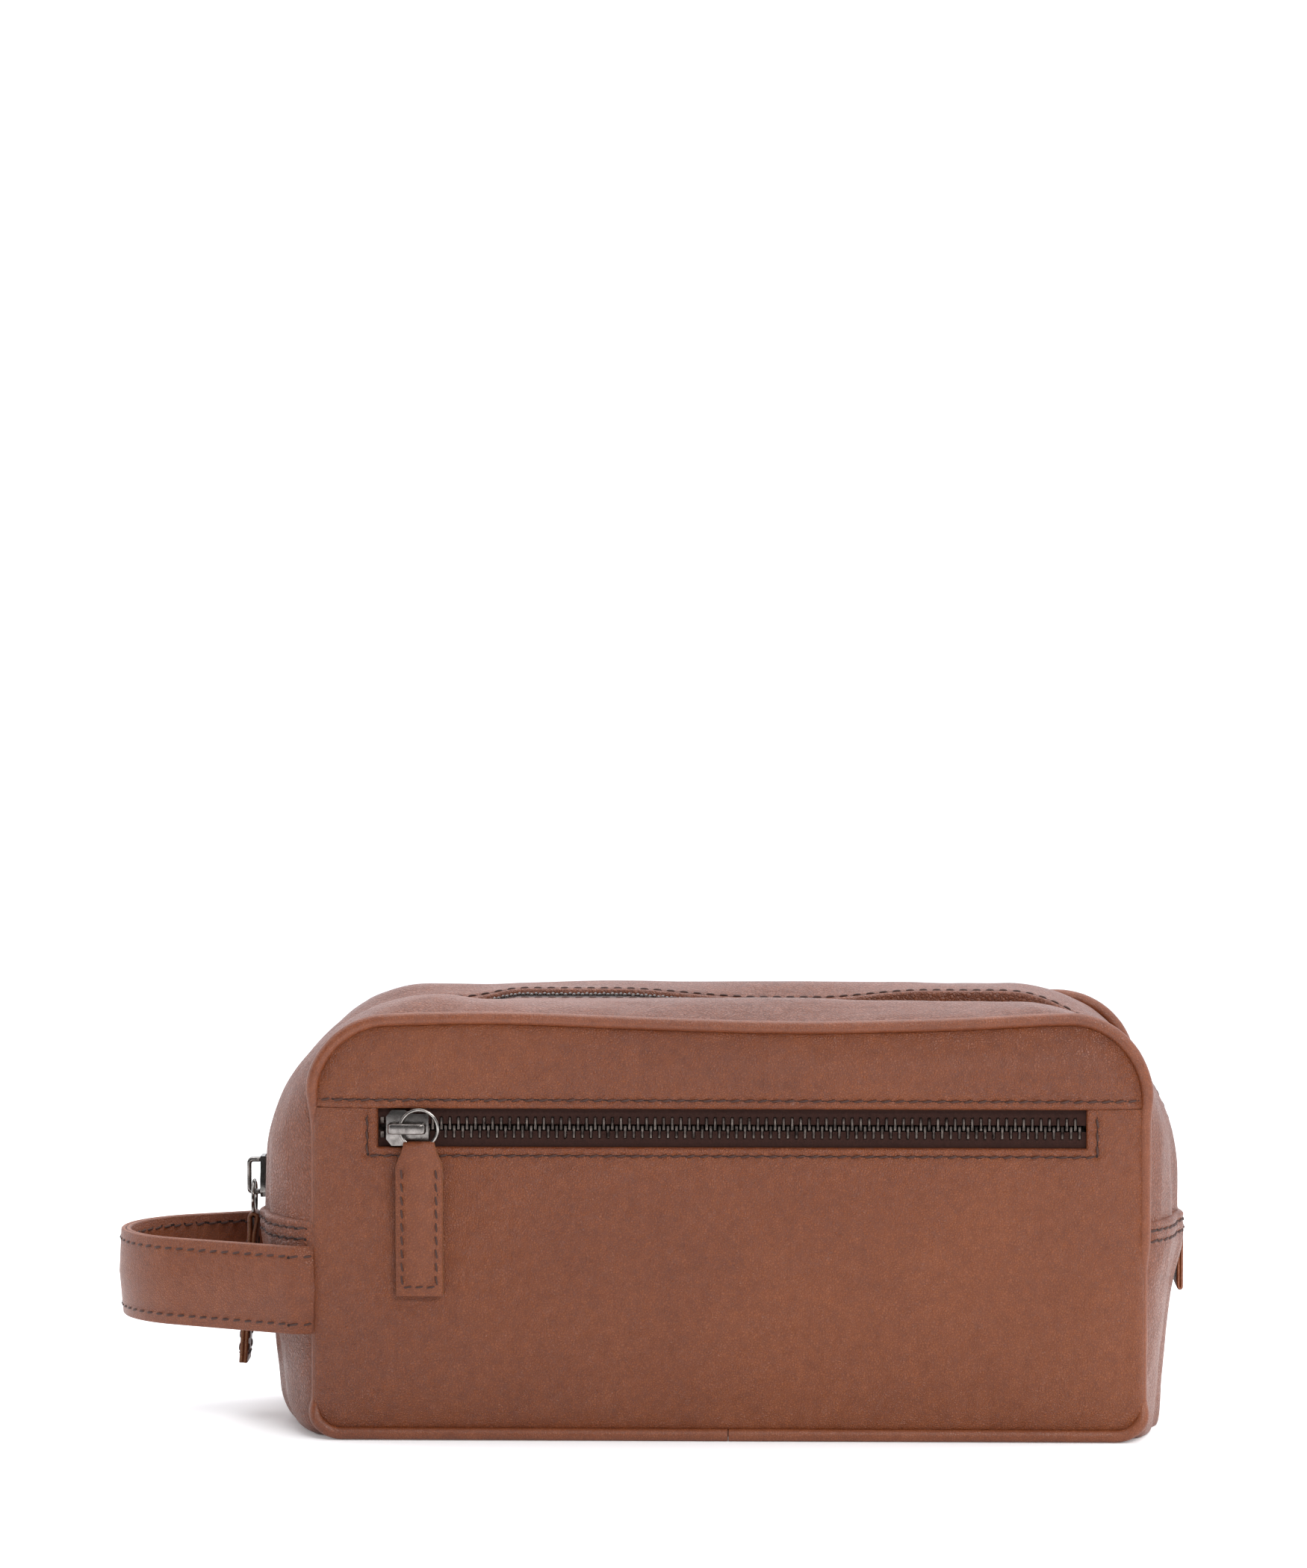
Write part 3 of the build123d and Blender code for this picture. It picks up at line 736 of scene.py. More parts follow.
def joint_lift(y, distance, left):
    """The lower strip's folded end stands over the top strips and bunches between its stitches."""
    at_pull = 1 - smooth((abs(y) - 9 * mm) / (6 * mm))
    proud = (1.7 - 0.4 * at_pull) * mm * (1 - smooth((distance - 5 * mm) / (22 * mm)))
    edge = smooth((half_depth - abs(y)) / (5 * mm))
    lift = proud * (0.3 + 0.7 * edge) - round_edge(distance, 1.3 * mm)
    for row_distance in joint_rows:
        lift -= groove(distance - row_distance, 0.4 * mm, 0.9 * mm)
    bunch = ripple((left * 0.05, y * 1.0, distance * 0.30), 170, 9)
    below = smooth((distance - 5.5 * mm) / (4 * mm)) * (1 - smooth((distance - 9 * mm) / (26 * mm)))
    lift += bunch * 1.1 * mm * below * edge * (1 - at_pull)
    return lift


def lower_place(y, share, inward=0.0):
    point, normal, distance = under(y, share)
    from_panel = half_depth - abs(y)
    off_floor = smooth((point.z - 2 * mm) / (14 * mm))
    calm = smooth(from_panel / (9 * mm)) * off_floor
    quiet = smooth((abs(y) - 8 * mm) / (8 * mm))
    lift = joint_lift(y, distance, point.x)
    lift += ripple(point, 30, 11) * 0.9 * mm * calm * quiet
    lift += ripple(point, 85, 12) * 0.35 * mm * calm * quiet
    gather = math.exp(-from_panel / (6 * mm)) * smooth(from_panel / (1.5 * mm)) * off_floor
    lift += ripple(point, 160, 13) * 0.5 * mm * gather
    return point + normal * (lift - inward)


trough_steps = 300
trough_depths = lines(-half_depth, half_depth, 2.0 * mm)
near_joint = (0.0, 0.3, 0.7, 1.2, 2.0, 2.8, 3.6, 4.5, 5.4, 6.2, 7.0, 8.0, 9.2)
trough_length = 2 * joint_z + lip_left + lip_right - 8 * mm
end_shares = [d * mm / trough_length for d in near_joint]
middle = [end_shares[-1] + (1 - 2 * end_shares[-1]) * k / trough_steps for k in range(1, trough_steps)]
trough_shares = end_shares + middle + [1 - s for s in reversed(end_shares)]


def lower_outer(i, j):
    return lower_place(trough_depths[j], trough_shares[i])


def lower_inner(i, j):
    thick = hide_thickness if 0 < j < len(trough_depths) - 1 else seam_thickness
    return lower_place(trough_depths[j], trough_shares[i], thick)


verts, faces = skin(len(trough_shares), len(trough_depths), lower_outer, lower_inner)
make_piece("gusset_lower_leather", verts, faces, gusset_leather, "bag", ["gusset_lower"])
joint_stitches = []
for mirrored in (False, True):
    for row_distance in joint_rows:
        share = row_distance / trough_length
        share = 1 - share if mirrored else share
        row = []
        for k in range(span + 1):
            y = (k / span * 2 - 1) * (half_depth - 1.5 * mm)
            if mirrored and abs(y) < 11.5 * mm and row_distance == joint_rows[1]:
                if row:
                    joint_stitches.append(row)
                row = []
                continue
            row.append((lower_place(y, share), Vector((1 if mirrored else -1, 0, 0))))
        joint_stitches.append(row)
stitches("gusset_joint_stitches", joint_stitches, "bag", pitch=4.3 * mm)

# Piping: a strip of thinner leather wrapped round a cotton cord and caught in the panel seam all
# the way round; its two ends butt under the bottom seam.
pipe_leather = leather(
    "piping leather", (0.120, 0.028, 0.008), (0.190, 0.048, 0.013), (0.270, 0.085, 0.032),
    cells=1500.0, creases=0.3, relief=0.00012, rough=0.32,
)


def tube(path, radius_at, sides=14):
    """Points and faces of a tube round a list of points; radius_at gives its radius at a point."""
    verts = []
    up = Vector((0, 0.999, 0.04))
    for k, point in enumerate(path):
        along = (path[min(k + 1, len(path) - 1)] - path[max(k - 1, 0)]).normalized()
        side = along.cross(up).normalized()
        over_side = side.cross(along).normalized()
        for corner in range(sides):
            turn = corner * 2 * math.pi / sides
            reach = radius_at(point, turn)
            verts.append(point + side * reach * math.cos(turn) + over_side * reach * math.sin(turn))
    return verts, tube_faces(0, len(path), sides)


def piping_route(y):
    """Centre line of the piping from its butt, round the panel and back to the butt."""
    half = seam_half + pipe_outset
    low = seam_bottom - pipe_outset
    top = seam_top + pipe_outset
    corners = [
        (half, low, seam_low_radius + pipe_outset, -90), (half, top, seam_top_radius + pipe_outset, 0),
        (-half, top, seam_top_radius + pipe_outset, 90), (-half, low, seam_low_radius + pipe_outset, 180),
    ]
    route = [Vector((0.15 * mm, y, low - 0.1 * mm))]
    for x, z, radius, start in corners:
        centre = Vector((x - math.copysign(radius, x), y, z - math.copysign(radius, z - 50 * mm)))
        for k in range(19):
            turn = math.radians(start + k * 5)
            route.append(centre + Vector((math.cos(turn), 0, math.sin(turn))) * radius)
    route.append(Vector((-0.15 * mm, y, low - 0.1 * mm)))
    fine = []
    for a, b in zip(route, route[1:]):
        count = max(1, round((b - a).length / (2.0 * mm)))
        fine += [a.lerp(b, k / count) for k in range(count)]
    fine.append(route[-1])
    return [settle(tucked(point)) for point in fine]


def tucked(point):
    """Beside the ends the panels roll out over the piping, which lies deeper there."""
    if point.x < 0:
        hidden = smooth((112 * mm - point.z) / (20 * mm))
    else:
        hidden = 0.45 * smooth((108 * mm - point.z) / (14 * mm))
        hidden += 0.5 * smooth((62 * mm - point.z) / (12 * mm))
    hidden *= smooth((point.z - 5 * mm) / (8 * mm)) * smooth((abs(point.x) - 100 * mm) / (20 * mm))
    inward = Vector((-math.copysign(1.8 * mm, point.x), -math.copysign(2.2 * mm, point.y), 0))
    return point + inward * hidden


def piping_radius(point, turn):
    pinch = 1 + 0.045 * ripple(point, 240, 14) + 0.02 * ripple((point.x, turn, point.z), 90, 15)
    on_floor = 1 - smooth((point.z - 3 * mm) / (3 * mm))
    return pipe_radius * (pinch * (1 - on_floor) + 0.985 * on_floor)


for name in ("front", "back"):
    low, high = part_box(f"piping_{name}")
    verts, faces = tube(piping_route((low.y + high.y) / 2), piping_radius)
    make_piece(f"piping_{name}_leather", verts, faces, pipe_leather, "bag",
               [f"piping_{name}"])

# Zips: size five metal chain on dark brown woven tape. Every tooth is a small stamped jaw clamped
# on the tape's corded edge, and the teeth of the two sides mesh down the middle.
tooth_pitch = 2.58 * mm
tape_depth = 1.8 * mm
tape_half_thickness = 0.3 * mm
tape_start_z = 61 * mm
tape_tuck = 3.8 * mm


def build_weave_group():
    """Herringbone-like rise and fall of a woven tape along one axis, with a tone for its yarns."""
    group, given, made = new_group("woven yarns", {"Yarns": 1100.0}, ("Height", "Tone"))
    coords = group.nodes.new("ShaderNodeTexCoord")
    bands = []
    for direction in ("X", "Y", "Z"):
        band = group.nodes.new("ShaderNodeTexWave")
        band.bands_direction = direction
        group.links.new(coords.outputs["Object"], band.inputs["Vector"])
        group.links.new(given.outputs["Yarns"], band.inputs["Scale"])
        node_input(band, "Distortion", 1.2)
        bands.append(band.outputs["Fac"])
    crossed = math_node(group, "MULTIPLY", math_node(group, "MAXIMUM", bands[0], bands[1]), bands[2])
    uneven = math_node(group, "ADD", crossed, math_node(group, "MULTIPLY", object_noise(group, 700.0), 0.5))
    group.links.new(uneven, made.inputs["Height"])
    group.links.new(math_node(group, "MULTIPLY", uneven, 0.7), made.inputs["Tone"])
    return group


weave_group = build_weave_group()


def cloth(name, dark, light, yarns=1100.0, sheen=0.3):
    """Woven yarn with a matt, slightly hairy surface."""
    material, tree, shader = new_material(name)
    weave = tree.nodes.new("ShaderNodeGroup")
    weave.node_tree = weave_group
    node_input(weave, "Yarns", yarns)
    tree.links.new(two_tones(tree, weave.outputs["Tone"], dark, light), shader.inputs["Base Color"])
    bump_on(tree, shader, weave.outputs["Height"], 0.6, 0.2 * mm)
    node_input(shader, "Roughness", 0.85)
    node_input(shader, "Specular IOR Level", 0.2)
    node_input(shader, "Sheen Weight", sheen)
    return material


def metal(name, dark, light, rough, relief=0.00002):
    """Dark plated metal, rubbed a little brighter and smoother in places."""
    material, tree, shader = new_material(name)
    wear = object_noise(tree, 420.0, 5.0, 0.65)
    tree.links.new(two_tones(tree, wear, dark, light, 0.35, 0.75), shader.inputs["Base Color"])
    gloss_by(tree, shader, wear, rough + 0.1, rough - 0.08)
    bump_on(tree, shader, object_noise(tree, 1300.0), 0.4, relief)
    node_input(shader, "Metallic", 1.0)
    return material


tape_cloth = cloth("zip tape", (0.014, 0.0045, 0.0030), (0.060, 0.019, 0.012), sheen=0.12)
tooth_metal = metal("zip teeth", (0.022, 0.016, 0.014), (0.20, 0.165, 0.145), 0.28)

tooth_sections = [
    (3.25, 0.38, 0.65), (3.00, 0.50, 1.00), (1.45, 0.50, 1.08), (0.95, 0.48, 1.00),
    (0.60, 0.63, 1.05), (-0.55, 0.61, 0.98), (-0.85, 0.40, 0.65),
]


def octagon(cut):
    """Corners of a square of half width 1 with cut corners."""
    quarter = [(1, cut), (cut, 1)]
    ring = quarter + [(-cut, 1), (-1, cut)]
    return ring + [(-a, -b) for a, b in ring]


def teeth(name, spots, body, stands_for):
    """Teeth at spots, each a (point, along the chain, across towards its own side, out)."""
    verts, faces = [], []
    for point, along, across, out in spots:
        faces += tube_faces(len(verts), len(tooth_sections), 8)
        for reach, wide, high in tooth_sections:
            for a, b in octagon(0.55):
                verts.append(point + across * reach * mm + along * a * wide * mm + out * b * high * mm)
    return make_piece(name, verts, faces, tooth_metal, body, stands_for, sharp=40)


def arch_at(share, start_z):
    """Point, direction and outward normal on the middle of the tape, along the main zip."""
    point, _ = over(0.0, share, start_z)
    ahead, _ = over(0.0, min(1.0, share + 0.002), start_z)
    behind, _ = over(0.0, max(0.0, share - 0.002), start_z)
    along = (ahead - behind).normalized()
    normal = Vector((-along.z, 0, along.x))
    return point - normal * tape_depth, along, normal


def main_zip():
    start_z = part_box("main_zip_teeth_front")[0].z + 0.6 * mm
    ends = [arch_at(k / 400, start_z)[0] for k in range(401)]
    total = sum((b - a).length for a, b in zip(ends, ends[1:]))
    for side, name, offset in ((-1, "front", 0.0), (1, "back", 0.5)):
        spots = []
        count = round(total / tooth_pitch)
        for k in range(count):
            point, along, out = arch_at((k + offset) / count, start_z)
            spots.append((point, along, Vector((0, side, 0)), out))
        teeth(f"main_zip_teeth_{name}_side", spots, "bag", [f"main_zip_teeth_{name}"])

        def tape_at(i, j, out=tape_half_thickness, side=side):
            across = (1.0 + (j / 6) * 14.0) * mm
            middle_point, _, normal = arch_at(i / 200, tape_start_z)
            tucked_in = smooth((-85 * mm - middle_point.x) / (30 * mm))
            tucked_in *= smooth((across - 3.4 * mm) / (2.2 * mm))
            return middle_point + Vector((0, side * across, 0)) + normal * (out - tape_tuck * tucked_in)

        def tape_under(i, j, place=tape_at):
            return place(i, j, -tape_half_thickness)

        verts, faces = skin(201, 7, tape_at, tape_under)
        make_piece(f"main_zip_tape_{name}_side", verts, faces, tape_cloth, "bag",
                   [f"main_zip_tape_{name}"])


main_zip()


upper_low, upper_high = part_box("pocket_zip_tape_upper")
chain_z = (upper_low.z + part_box("pocket_zip_tape_lower")[1].z) / 2
chain_y = (upper_low.y + upper_high.y) / 2
upright = Vector((0, 0, 1))
lengthways = Vector((1, 0, 0))
sideways = Vector((0, 1, 0))


def pocket_zip():
    start = window_left + 3.6 * mm
    count = int((window_right + 0.6 * mm - start) / tooth_pitch)
    for side, name, offset in ((1, "upper", 0.0), (-1, "lower", 0.5)):
        spots = []
        for k in range(count):
            point = Vector((start + (k + offset) * tooth_pitch, chain_y, chain_z))
            spots.append((point, lengthways, upright * side, outward))
        teeth(f"pocket_zip_teeth_{name}_side", spots, "bag", [f"pocket_zip_teeth_{name}"])

        def tape_at(i, j, out=tape_half_thickness, side=side):
            x = upper_low.x + (upper_high.x - upper_low.x) * i / 60
            across = (1.0 + j / 6 * 13.5) * mm
            return Vector((x, chain_y - out, chain_z + side * across))

        def tape_under(i, j, place=tape_at):
            return place(i, j, -tape_half_thickness)

        verts, faces = skin(61, 7, tape_at, tape_under)
        make_piece(f"pocket_zip_tape_{name}_side", verts, faces, tape_cloth, "bag",
                   [f"pocket_zip_tape_{name}"])


pocket_zip()

# Sliders: die-cast bodies with a riveted crown, plated dark. The castings' edges are tumbled round.
slider_metal = metal("slider plating", (0.12, 0.108, 0.10), (0.36, 0.33, 0.31), 0.24)


def tumbled(node, body, width, material):
    """Copy of a hard node with its edges rounded, standing for it."""
    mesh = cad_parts[node].data.copy()
    mesh.materials.clear()
    mesh.materials.append(material)
    tidy = bmesh.new()
    tidy.from_mesh(mesh)
    bmesh.ops.remove_doubles(tidy, verts=tidy.verts, dist=0.002 * mm)
    bmesh.ops.dissolve_limit(
        tidy, angle_limit=math.radians(2), verts=tidy.verts, edges=tidy.edges
    )
    sharp_edges = [e for e in tidy.edges if len(e.link_faces) == 2 and e.calc_face_angle() > 0.5]
    bmesh.ops.bevel(
        tidy, geom=sharp_edges, offset=width, segments=3, profile=0.5, affect="EDGES", clamp_overlap=True
    )
    tidy.to_mesh(mesh)
    tidy.free()
    mesh.polygons.foreach_set("use_smooth", [True] * len(mesh.polygons))
    mesh.set_sharp_from_angle(angle=math.radians(40))
    piece = bpy.data.objects.new(f"{node}_casting", mesh)
    bpy.context.scene.collection.objects.link(piece)
    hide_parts(node)
    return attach(piece, body)


for zip_name in ("main", "pocket"):
    tumbled(f"{zip_name}_slider_body", f"{zip_name}_slider", 0.35 * mm, slider_metal)
    tumbled(f"{zip_name}_slider_crown", f"{zip_name}_slider", 0.7 * mm, slider_metal)

# Stops: stamped clamps closed over the tapes at both ends of each chain, of the teeth's metal. The
# main zip's lie at the joints; the pocket's right one is hidden under the window's folded end.


def stops(name, clamps, node):
    """One piece of small stops, each (place, along the chain, across it, out, half its width)."""
    verts, faces = [], []
    for place, along, across, out, reach in clamps:
        faces += tube_faces(len(verts), 2, 8)
        verts += [place + along * a * 0.8 * mm + out * b * 0.9 * mm + across * side * reach
                  for side in (-1, 1) for a, b in octagon(0.6)]
    make_piece(name, verts, faces, tooth_metal, "bag", [node], sharp=40)


full_reach = 2.6 * mm
half_reach = 0.9 * mm
cord_x = window_left + 1.2 * mm
cord_apart = 2.2 * mm
stops("pocket_zip_end_stops", [
    (Vector((window_right + full_reach, chain_y, chain_z)), lengthways, upright, outward, full_reach),
    (Vector((cord_x, chain_y, chain_z + cord_apart)), lengthways, upright, outward, half_reach),
    (Vector((cord_x, chain_y, chain_z - cord_apart)), lengthways, upright, outward, half_reach),
], "pocket_zip_stops")
stop_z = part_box("main_zip_stops")[0].z + 0.9 * mm
stops("main_zip_end_stops", [
    (Vector((-lip_left, 0, stop_z)), upright, sideways, -lengthways, full_reach),
    (Vector((lip_right - tape_depth, 0, stop_z)), upright, sideways, lengthways, full_reach),
], "main_zip_stops")

# Pull rings: round wire, bent and closed, through the crown and the puller's fold.
ring_metal = metal("ring wire", (0.16, 0.145, 0.135), (0.44, 0.41, 0.38), 0.2)
for zip_name, across in (("main", sideways), ("pocket", lengthways)):
    low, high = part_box(f"{zip_name}_pull_ring")
    centre = (low + high) / 2
    wire = min(high.x - low.x, high.y - low.y) / 2
    reach = (high.z - low.z) / 2 - wire
    route = []
    for k in range(72):
        turn = k * math.pi / 36
        route.append(centre + across * reach * math.cos(turn) + upright * reach * math.sin(turn))
    verts, faces = [], []
    for k, point in enumerate(route):
        away = (point - centre).normalized()
        thin = across.cross(upright)
        for corner in range(14):
            turn = corner * math.pi / 7
            verts.append(point + away * wire * math.cos(turn) + thin * wire * math.sin(turn))
            a, b = k * 14, (k + 1) % 72 * 14
            faces.append((a + corner, a + (corner + 1) % 14, b + (corner + 1) % 14, b + corner))
    make_piece(f"{zip_name}_pull_ring_wire", verts, faces, ring_metal, f"{zip_name}_ring",
               [f"{zip_name}_pull_ring"], sharp=80)

# Pullers: a strip of body leather folded double round the ring, sewn down both sides and across the
# end. The cut edges are left raw and show the hide's pale core.
pull_leather = leather(
    "puller leather", (0.105, 0.022, 0.004), (0.176, 0.040, 0.006), (0.25, 0.074, 0.020),
    cells=1400.0, creases=0.3, relief=0.00024, rough=0.36,
)
raw_edge = leather(
    "raw edge", (0.13, 0.050, 0.018), (0.22, 0.092, 0.038), (0.32, 0.16, 0.075),
    cells=1500.0, creases=0.8, relief=0.0001, rough=0.7,
)


def strip_along(name, stations, thickness, body, stands_for=(), face_leather=pull_leather,
                edge_leather=raw_edge, belly=0.04 * mm):
    """Strip of leather through stations of (point, across, out, half width): two faces and two raw
    edges with softly rounded corners."""
    soft = min(0.35 * mm, thickness * 0.3)
    half = thickness / 2
    verts = []
    for point, across, out, wide in stations:
        for w, t in (
            (-wide + soft, half), (0, half + belly), (wide - soft, half), (wide, half - soft),
            (wide + 0.05 * mm, 0), (wide, soft - half), (wide - soft, -half), (0, -half),
            (soft - wide, -half), (-wide, soft - half), (-wide - 0.05 * mm, 0), (-wide, half - soft),
        ):
            verts.append(point + across * w + out * t)
    faces = tube_faces(0, len(stations), 12)
    round_count = len(faces) - 2
    raw = [k for k in range(round_count) if k % 12 in (3, 4, 9, 10)] + [round_count, round_count + 1]
    piece = make_piece(name, verts, faces, face_leather, body, stands_for, sharp=60)
    piece.data.materials.append(edge_leather)
    for index in raw:
        piece.data.polygons[index].material_index = 1
    return piece


def puller(zip_name, width_axis, out, lean):
    """Folded puller hanging from its ring; lean turns its lower end back, in radians."""
    low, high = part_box(f"{zip_name}_pull_ring")
    ring_middle = (low + high) / 2
    wire = min(high.x - low.x, high.y - low.y) / 2
    eye = Vector((ring_middle.x, ring_middle.y, low.z + wire))
    pull_low, pull_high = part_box(f"{zip_name}_puller")
    reach = eye.z - pull_low.z
    down = (-upright - out * math.tan(lean)).normalized()
    face = (out - down * out.dot(down)).normalized()
    half_width = (pull_high.x - pull_low.x if zip_name == "pocket" else pull_high.y - pull_low.y) / 2
    ply = 1.25 * mm

    def wide_at(distance):
        neck = 4.9 * mm
        return neck + (half_width - neck) * smooth((distance + 0.5 * mm) / (7 * mm))

    def middle(distance, sign):
        """Middle of a ply this far down; the plies close on each other below the ring."""
        gap = (wire + ply / 2 - ply * 0.51) * (1 - smooth(distance / (6 * mm))) + ply * 0.51
        swell = ripple((distance, sign, eye.x), 60, 16) * 0.15 * mm * smooth(distance / (10 * mm))
        return eye + down * distance + face * (sign * gap + swell)

    stations = []
    steps = 40
    for k in range(steps + 1):
        distance = reach * (1 - k / steps)
        stations.append((middle(distance, 1), width_axis, face, wide_at(distance)))
    for k in range(1, 12):
        turn = math.pi / 2 - k * math.pi / 12
        radial = face * math.sin(turn) - down * math.cos(turn)
        stations.append((eye + radial * (wire + ply / 2), width_axis, radial, wide_at(0) - 0.2 * mm))
    for k in range(steps + 1):
        distance = reach * k / steps
        stations.append((middle(distance, -1), width_axis, -face, wide_at(distance)))
    strip_along(f"{zip_name}_puller_leather", stations, ply, f"{zip_name}_pull",
                [f"{zip_name}_puller"])
    rows = []
    inset = 1.9 * mm
    for sign in (1, -1):
        normal = face * sign
        for edge in (-1, 1):
            row = []
            for k in range(31):
                distance = 6 * mm + (reach - 8.7 * mm) * k / 30
                point = middle(distance, sign) + width_axis * edge * (wide_at(distance) - inset)
                row.append((point + normal * ply * 0.47, normal))
            rows.append(row)
        across_row = []
        for k in range(9):
            offset = (k / 4 - 1) * (half_width - inset)
            point = middle(reach - 2.7 * mm, sign) + width_axis * offset
            across_row.append((point + normal * ply * 0.47, normal))
        rows.append(across_row)
    stitches(f"{zip_name}_puller_stitches", rows, f"{zip_name}_pull", scale=0.85)


pocket_low, pocket_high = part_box("pocket_puller")
ring_y = sum(corner.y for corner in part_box("pocket_pull_ring")) / 2
pocket_lean = math.atan2(flat_y - 0.3 * mm - 1.3 * mm - ring_y, pocket_high.z - pocket_low.z - 2 * mm)
puller("pocket", lengthways, outward, pocket_lean)
puller("main", sideways, -lengthways, -0.07)

# Carrying loop: two plies of strap leather, glued back to back and sewn along both edges, its ends
# caught in the front and back seams of the left end.
strap_leather = leather(
    "strap leather", (0.105, 0.022, 0.004), (0.176, 0.040, 0.007), (0.26, 0.078, 0.022),
    cells=1400.0, creases=0.3, relief=0.00024, rough=0.34,
)
strap_edge = leather(
    "strap edge", (0.16, 0.050, 0.022), (0.25, 0.090, 0.045), (0.36, 0.16, 0.095),
    cells=1500.0, creases=0.5, relief=0.0001, rough=0.5,
)
strap_low, strap_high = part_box("handle_outer")
strap_z = (strap_low.z + strap_high.z) / 2
strap_half = (strap_high.z - strap_low.z) / 2
ply = 1.5 * mm
loop_radius = 32 * mm + ply
loop_centre = strap_low.x + ply + loop_radius
root = Vector((-seam_half + 0.5 * mm, seam_y + 1.9 * mm))
leg = Vector((-seam_half - 6.5 * mm, seam_y + 0.5 * mm))


def strap_line():
    """Middle line of the loop seen from above, from the front seam to the back seam."""
    to_centre = Vector((loop_centre, 0)) - leg
    bearing = math.atan2(to_centre.y, to_centre.x) + math.asin(loop_radius / to_centre.length)
    tangent_length = math.sqrt(to_centre.length**2 - loop_radius**2)
    touch = leg + Vector((math.cos(bearing), math.sin(bearing))) * tangent_length
    start = math.atan2(touch.y, touch.x - loop_centre)
    front = [root.lerp(leg, smooth(k / 4)) for k in range(4)]
    front += [leg.lerp(touch, k / 14) for k in range(14)]
    sweep = 2 * math.pi - 2 * abs(start)
    arc = []
    for k in range(33):
        turn = start - sweep * k / 32
        arc.append(Vector((loop_centre + loop_radius * math.cos(turn), loop_radius * math.sin(turn))))
    back = [Vector((p.x, -p.y)) for p in reversed(front)]
    return front + arc + back


loop = strap_line()


def strap_station(k, offset):
    """Place on a ply of the loop, offset outwards from the middle line."""
    before, after = loop[max(0, k - 1)], loop[min(len(loop) - 1, k + 1)]
    along = (after - before).normalized()
    out = Vector((along.y, -along.x, 0)).normalized()
    if out.x * (loop[k].x - loop_centre) + out.y * loop[k].y < 0:
        out = -out
    point = Vector((loop[k].x, loop[k].y, strap_z)) + out * offset
    away = smooth((-seam_half - loop[k].x) / (20 * mm))
    tilt = 0.035 * away * ripple((loop[k].x, loop[k].y, 0), 14, 17)
    across = (upright + out * tilt).normalized()
    return point, across, out


def bend_strap(piece):
    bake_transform(piece)


for name, offset, belly in (("outer", ply / 2, 0.9 * mm), ("inner", -ply / 2, 0.04 * mm)):
    stations = []
    for k in range(len(loop)):
        point, across, out = strap_station(k, offset)
        stations.append((point, across, out, strap_half))
    strap = strip_along(f"handle_{name}_leather", stations, ply * 0.98, None,
                        [f"handle_{name}"], strap_leather, strap_edge, belly)
    bend_strap(strap)
strap_rows = []
for edge in (-1, 1):
    for face_sign in (-1, 1):
        row = []
        for k in range(1, len(loop) - 1):
            point, across, out = strap_station(k, face_sign * ply * 0.97)
            row.append((point + across * edge * (strap_half - 3.0 * mm), out * face_sign))
        strap_rows.append(row)
strap_stitches = stitches("handle_stitches", strap_rows, None, pitch=4.1 * mm)
bend_strap(strap_stitches)

# End tab: a short strap folded double at the right end, hanging over the gusset joint.
tab_low, tab_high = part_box("end_tab")
tab_half = (tab_high.y - tab_low.y) / 2 - 0.1 * mm
tab_ply = 0.95 * mm
tab_x = lip_right + 1.9 * mm
tab_top = joint_z - 4.6 * mm
tab_long = tab_top - tab_low.z
tab_stations = []
for k in range(15):
    z = tab_top - tab_long * k / 14
    tab_stations.append((Vector((tab_x, 0, z)), sideways, lengthways, tab_half))
for k in range(1, 8):
    turn = k * math.pi / 8
    out = Vector((math.cos(turn), 0, -math.sin(turn)))
    centre = Vector((tab_x - tab_ply / 2, 0, tab_low.z))
    tab_stations.append((centre + out * tab_ply * 0.5, sideways, out, tab_half))
for k in range(15):
    z = tab_low.z + tab_long * k / 14
    tab_stations.append((Vector((tab_x - tab_ply, 0, z)), sideways, -lengthways, tab_half))
strip_along("end_tab_leather", tab_stations, tab_ply * 0.97, "tab", ["end_tab"],
            strap_leather, strap_edge)
row = []
for k in range(9):
    y = (k / 4 - 1) * (tab_half - 1.2 * mm)
    row.append((Vector((tab_x + tab_ply * 0.47, y, joint_z - joint_rows[1])), lengthways))
stitches("end_tab_stitches", [row], "tab", pitch=4.3 * mm)

# Lining and fillers: plain woven lining sewn in behind the leather, the front pocket's cloth bag
# and the cotton cord inside the piping. None of it shows while the bag is closed.
lining_cloth = cloth("lining cloth", (0.016, 0.011, 0.009), (0.050, 0.036, 0.030), 900.0, 0.2)
filler_cord = cloth("cotton cord", (0.35, 0.32, 0.27), (0.62, 0.58, 0.50), 1400.0, 0.1)
for name in ("front", "back"):
    low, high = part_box(f"piping_cord_{name}")
    verts, faces = tube(piping_route((low.y + high.y) / 2), lambda point, turn: 1.2 * mm, sides=10)
    make_piece(f"piping_cord_{name}_cotton", verts, faces, filler_cord, "bag",
               [f"piping_cord_{name}"])


def hung_cloth(name, node, depth, round_by):
    """Flat cloth with a soft wave, standing for a plain node; round_by 1 gives it the panels'
    round corners."""
    low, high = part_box(node)
    xs = lines(low.x + 0.3 * mm, high.x - 0.3 * mm, 4 * mm)
    zs = lines(low.z + 0.3 * mm, high.z - 0.3 * mm, 4 * mm)
    middle_y = (low.y + high.y) / 2

    def outer(i, j, inward=0.0):
        x = xs[j] + round_by * (panel_x(xs[j], zs[i]) - xs[j])
        wave = 0.25 * mm * ripple((x, 0, zs[i]), 40, 18)
        return Vector((x, middle_y + wave + inward, zs[i]))

    verts, faces = skin(len(zs), len(xs), outer, lambda i, j: outer(i, j, depth))
    piece = make_piece(name, verts, faces, lining_cloth, "bag", [node])


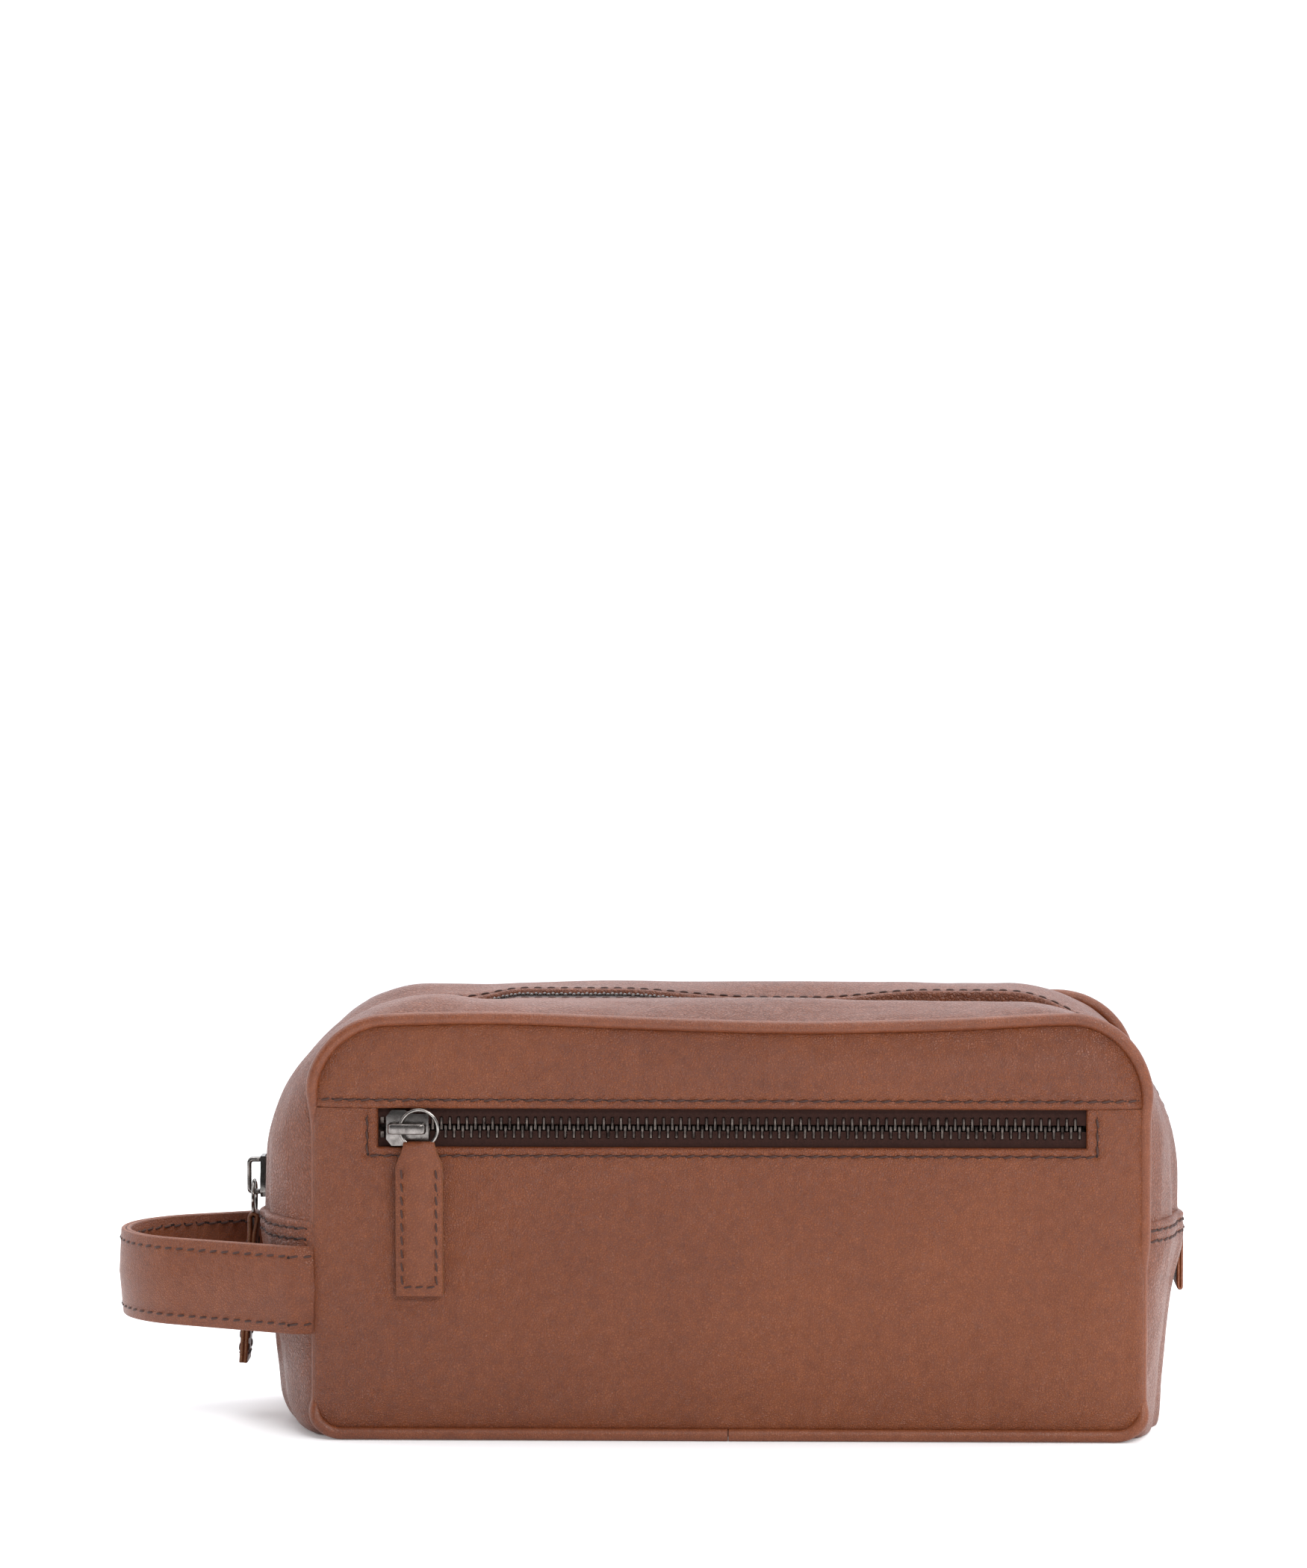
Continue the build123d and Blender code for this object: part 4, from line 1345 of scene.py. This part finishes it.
hung_cloth("lining_front_cloth", "lining_front", -0.3 * mm, 1.0)
hung_cloth("lining_back_cloth", "lining_back", 0.3 * mm, 1.0)
hung_cloth("pocket_bag_cloth", "pocket_bag", -0.3 * mm, 0.0)

lining_depth = 2.4 * mm
lining_thickness = 0.4 * mm
tape_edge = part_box("main_zip_tape_back")[1].y
lining_edges = lines(tape_edge, half_depth - 0.6 * mm, 4 * mm)
for side, name in ((-1, "front"), (1, "back")):
    def lining_at(i, j, inward=lining_depth, side=side):
        point, normal = over(side * lining_edges[j], i / 160, side=side)
        return point - normal * inward

    def lining_under(i, j, place=lining_at):
        return place(i, j, lining_depth + lining_thickness)

    verts, faces = skin(161, len(lining_edges), lining_at, lining_under)
    piece = make_piece(f"lining_top_{name}", verts, faces, lining_cloth, "bag")

lower_edges = lines(0.6 * mm - half_depth, half_depth - 0.6 * mm, 5 * mm)


def lower_lining(i, j, inward=lining_depth):
    point, normal, _ = under(lower_edges[j], 0.02 + 0.96 * i / 160)
    return point - normal * inward


verts, faces = skin(
    161, len(lower_edges), lower_lining, lambda i, j: lower_lining(i, j, lining_depth + lining_thickness)
)
lower_lining_piece = make_piece(
    "lining_lower", verts, faces, lining_cloth, "bag", ["lining_gusset"])

# Set for looking at the bag: a white table that runs on into a white surround, a wide overhead
# softbox set back a little, and the camera at eye height for a seated person, far off.
floor_mesh = bpy.data.meshes.new("table_top")
floor_mesh.from_pydata([(-3, -3, 0), (3, -3, 0), (3, 3, 0), (-3, 3, 0)], [], [(0, 1, 2, 3)])
floor = bpy.data.objects.new("table_top", floor_mesh)
bpy.context.scene.collection.objects.link(floor)
floor_paint, _, floor_shader = new_material("white table")
for label, value in (("Base Color", (0.95, 0.95, 0.95, 1)), ("Emission Color", (1, 1, 1, 1)),
                     ("Emission Strength", 0.13), ("Roughness", 0.9), ("Specular IOR Level", 0.1)):
    node_input(floor_shader, label, value)
floor_mesh.materials.append(floor_paint)

world = bpy.data.worlds.new("white surround")
world.use_nodes = True
surround = world.node_tree
way = surround.nodes.new("ShaderNodeTexCoord")
split = surround.nodes.new("ShaderNodeSeparateXYZ")
surround.links.new(way.outputs["Generated"], split.inputs[0])
overhead = math_node(surround, "MULTIPLY", split.outputs["Z"], 0.5)
behind = math_node(surround, "ADD", split.outputs["Y"], overhead)
shade = surround.nodes.new("ShaderNodeMapRange")
shade.interpolation_type = "SMOOTHSTEP"
for label, value in (("From Min", -0.5), ("From Max", 0.5), ("To Min", 0.08), ("To Max", 1.35)):
    node_input(shade, label, value)
surround.links.new(behind, shade.inputs["Value"])
surround.links.new(shade.outputs["Result"], surround.nodes["Background"].inputs["Strength"])
node_input(surround.nodes["Background"], "Color", (0.965, 0.985, 1.04, 1))
bpy.context.scene.world = world


def softbox(name, place, target, size, power):
    light = bpy.data.lights.new(name, "AREA")
    light.shape = "RECTANGLE"
    light.size, light.size_y = size
    light.energy = power
    lamp = bpy.data.objects.new(name, light)
    lamp.location = place
    lamp.rotation_euler = (Vector(target) - Vector(place)).to_track_quat("-Z", "Y").to_euler()
    bpy.context.scene.collection.objects.link(lamp)


softbox("overhead_box", (0.1, 0.35, 1.3), (0, 0, 0.05), (1.6, 1.0), 12)
softbox("front_box", (0.5, -1.2, 0.9), (0.04, -0.05, 0.08), (0.9, 0.3), 14)
softbox("left_box", (-1.2, 0.1, 0.6), (0, 0, 0.06), (0.8, 0.8), 2)
softbox("right_box", (1.2, -0.2, 0.7), (0, 0, 0.06), (0.8, 0.8), 3)
bpy.context.scene.view_settings.view_transform = "Standard"

camera_data = bpy.data.cameras.new("camera")
camera_data.lens = 137.0
camera = bpy.data.objects.new("camera", camera_data)
bpy.context.scene.collection.objects.link(camera)
aim = Vector((-0.0225, flat_y, 0.1991))
turn = math.radians(1.5)
distance = 1.79
camera.location = aim + Vector((math.sin(turn) * distance, -math.cos(turn) * distance, 0.0902))
camera.rotation_euler = (aim - camera.location).to_track_quat("-Z", "Y").to_euler()
bpy.context.scene.camera = camera
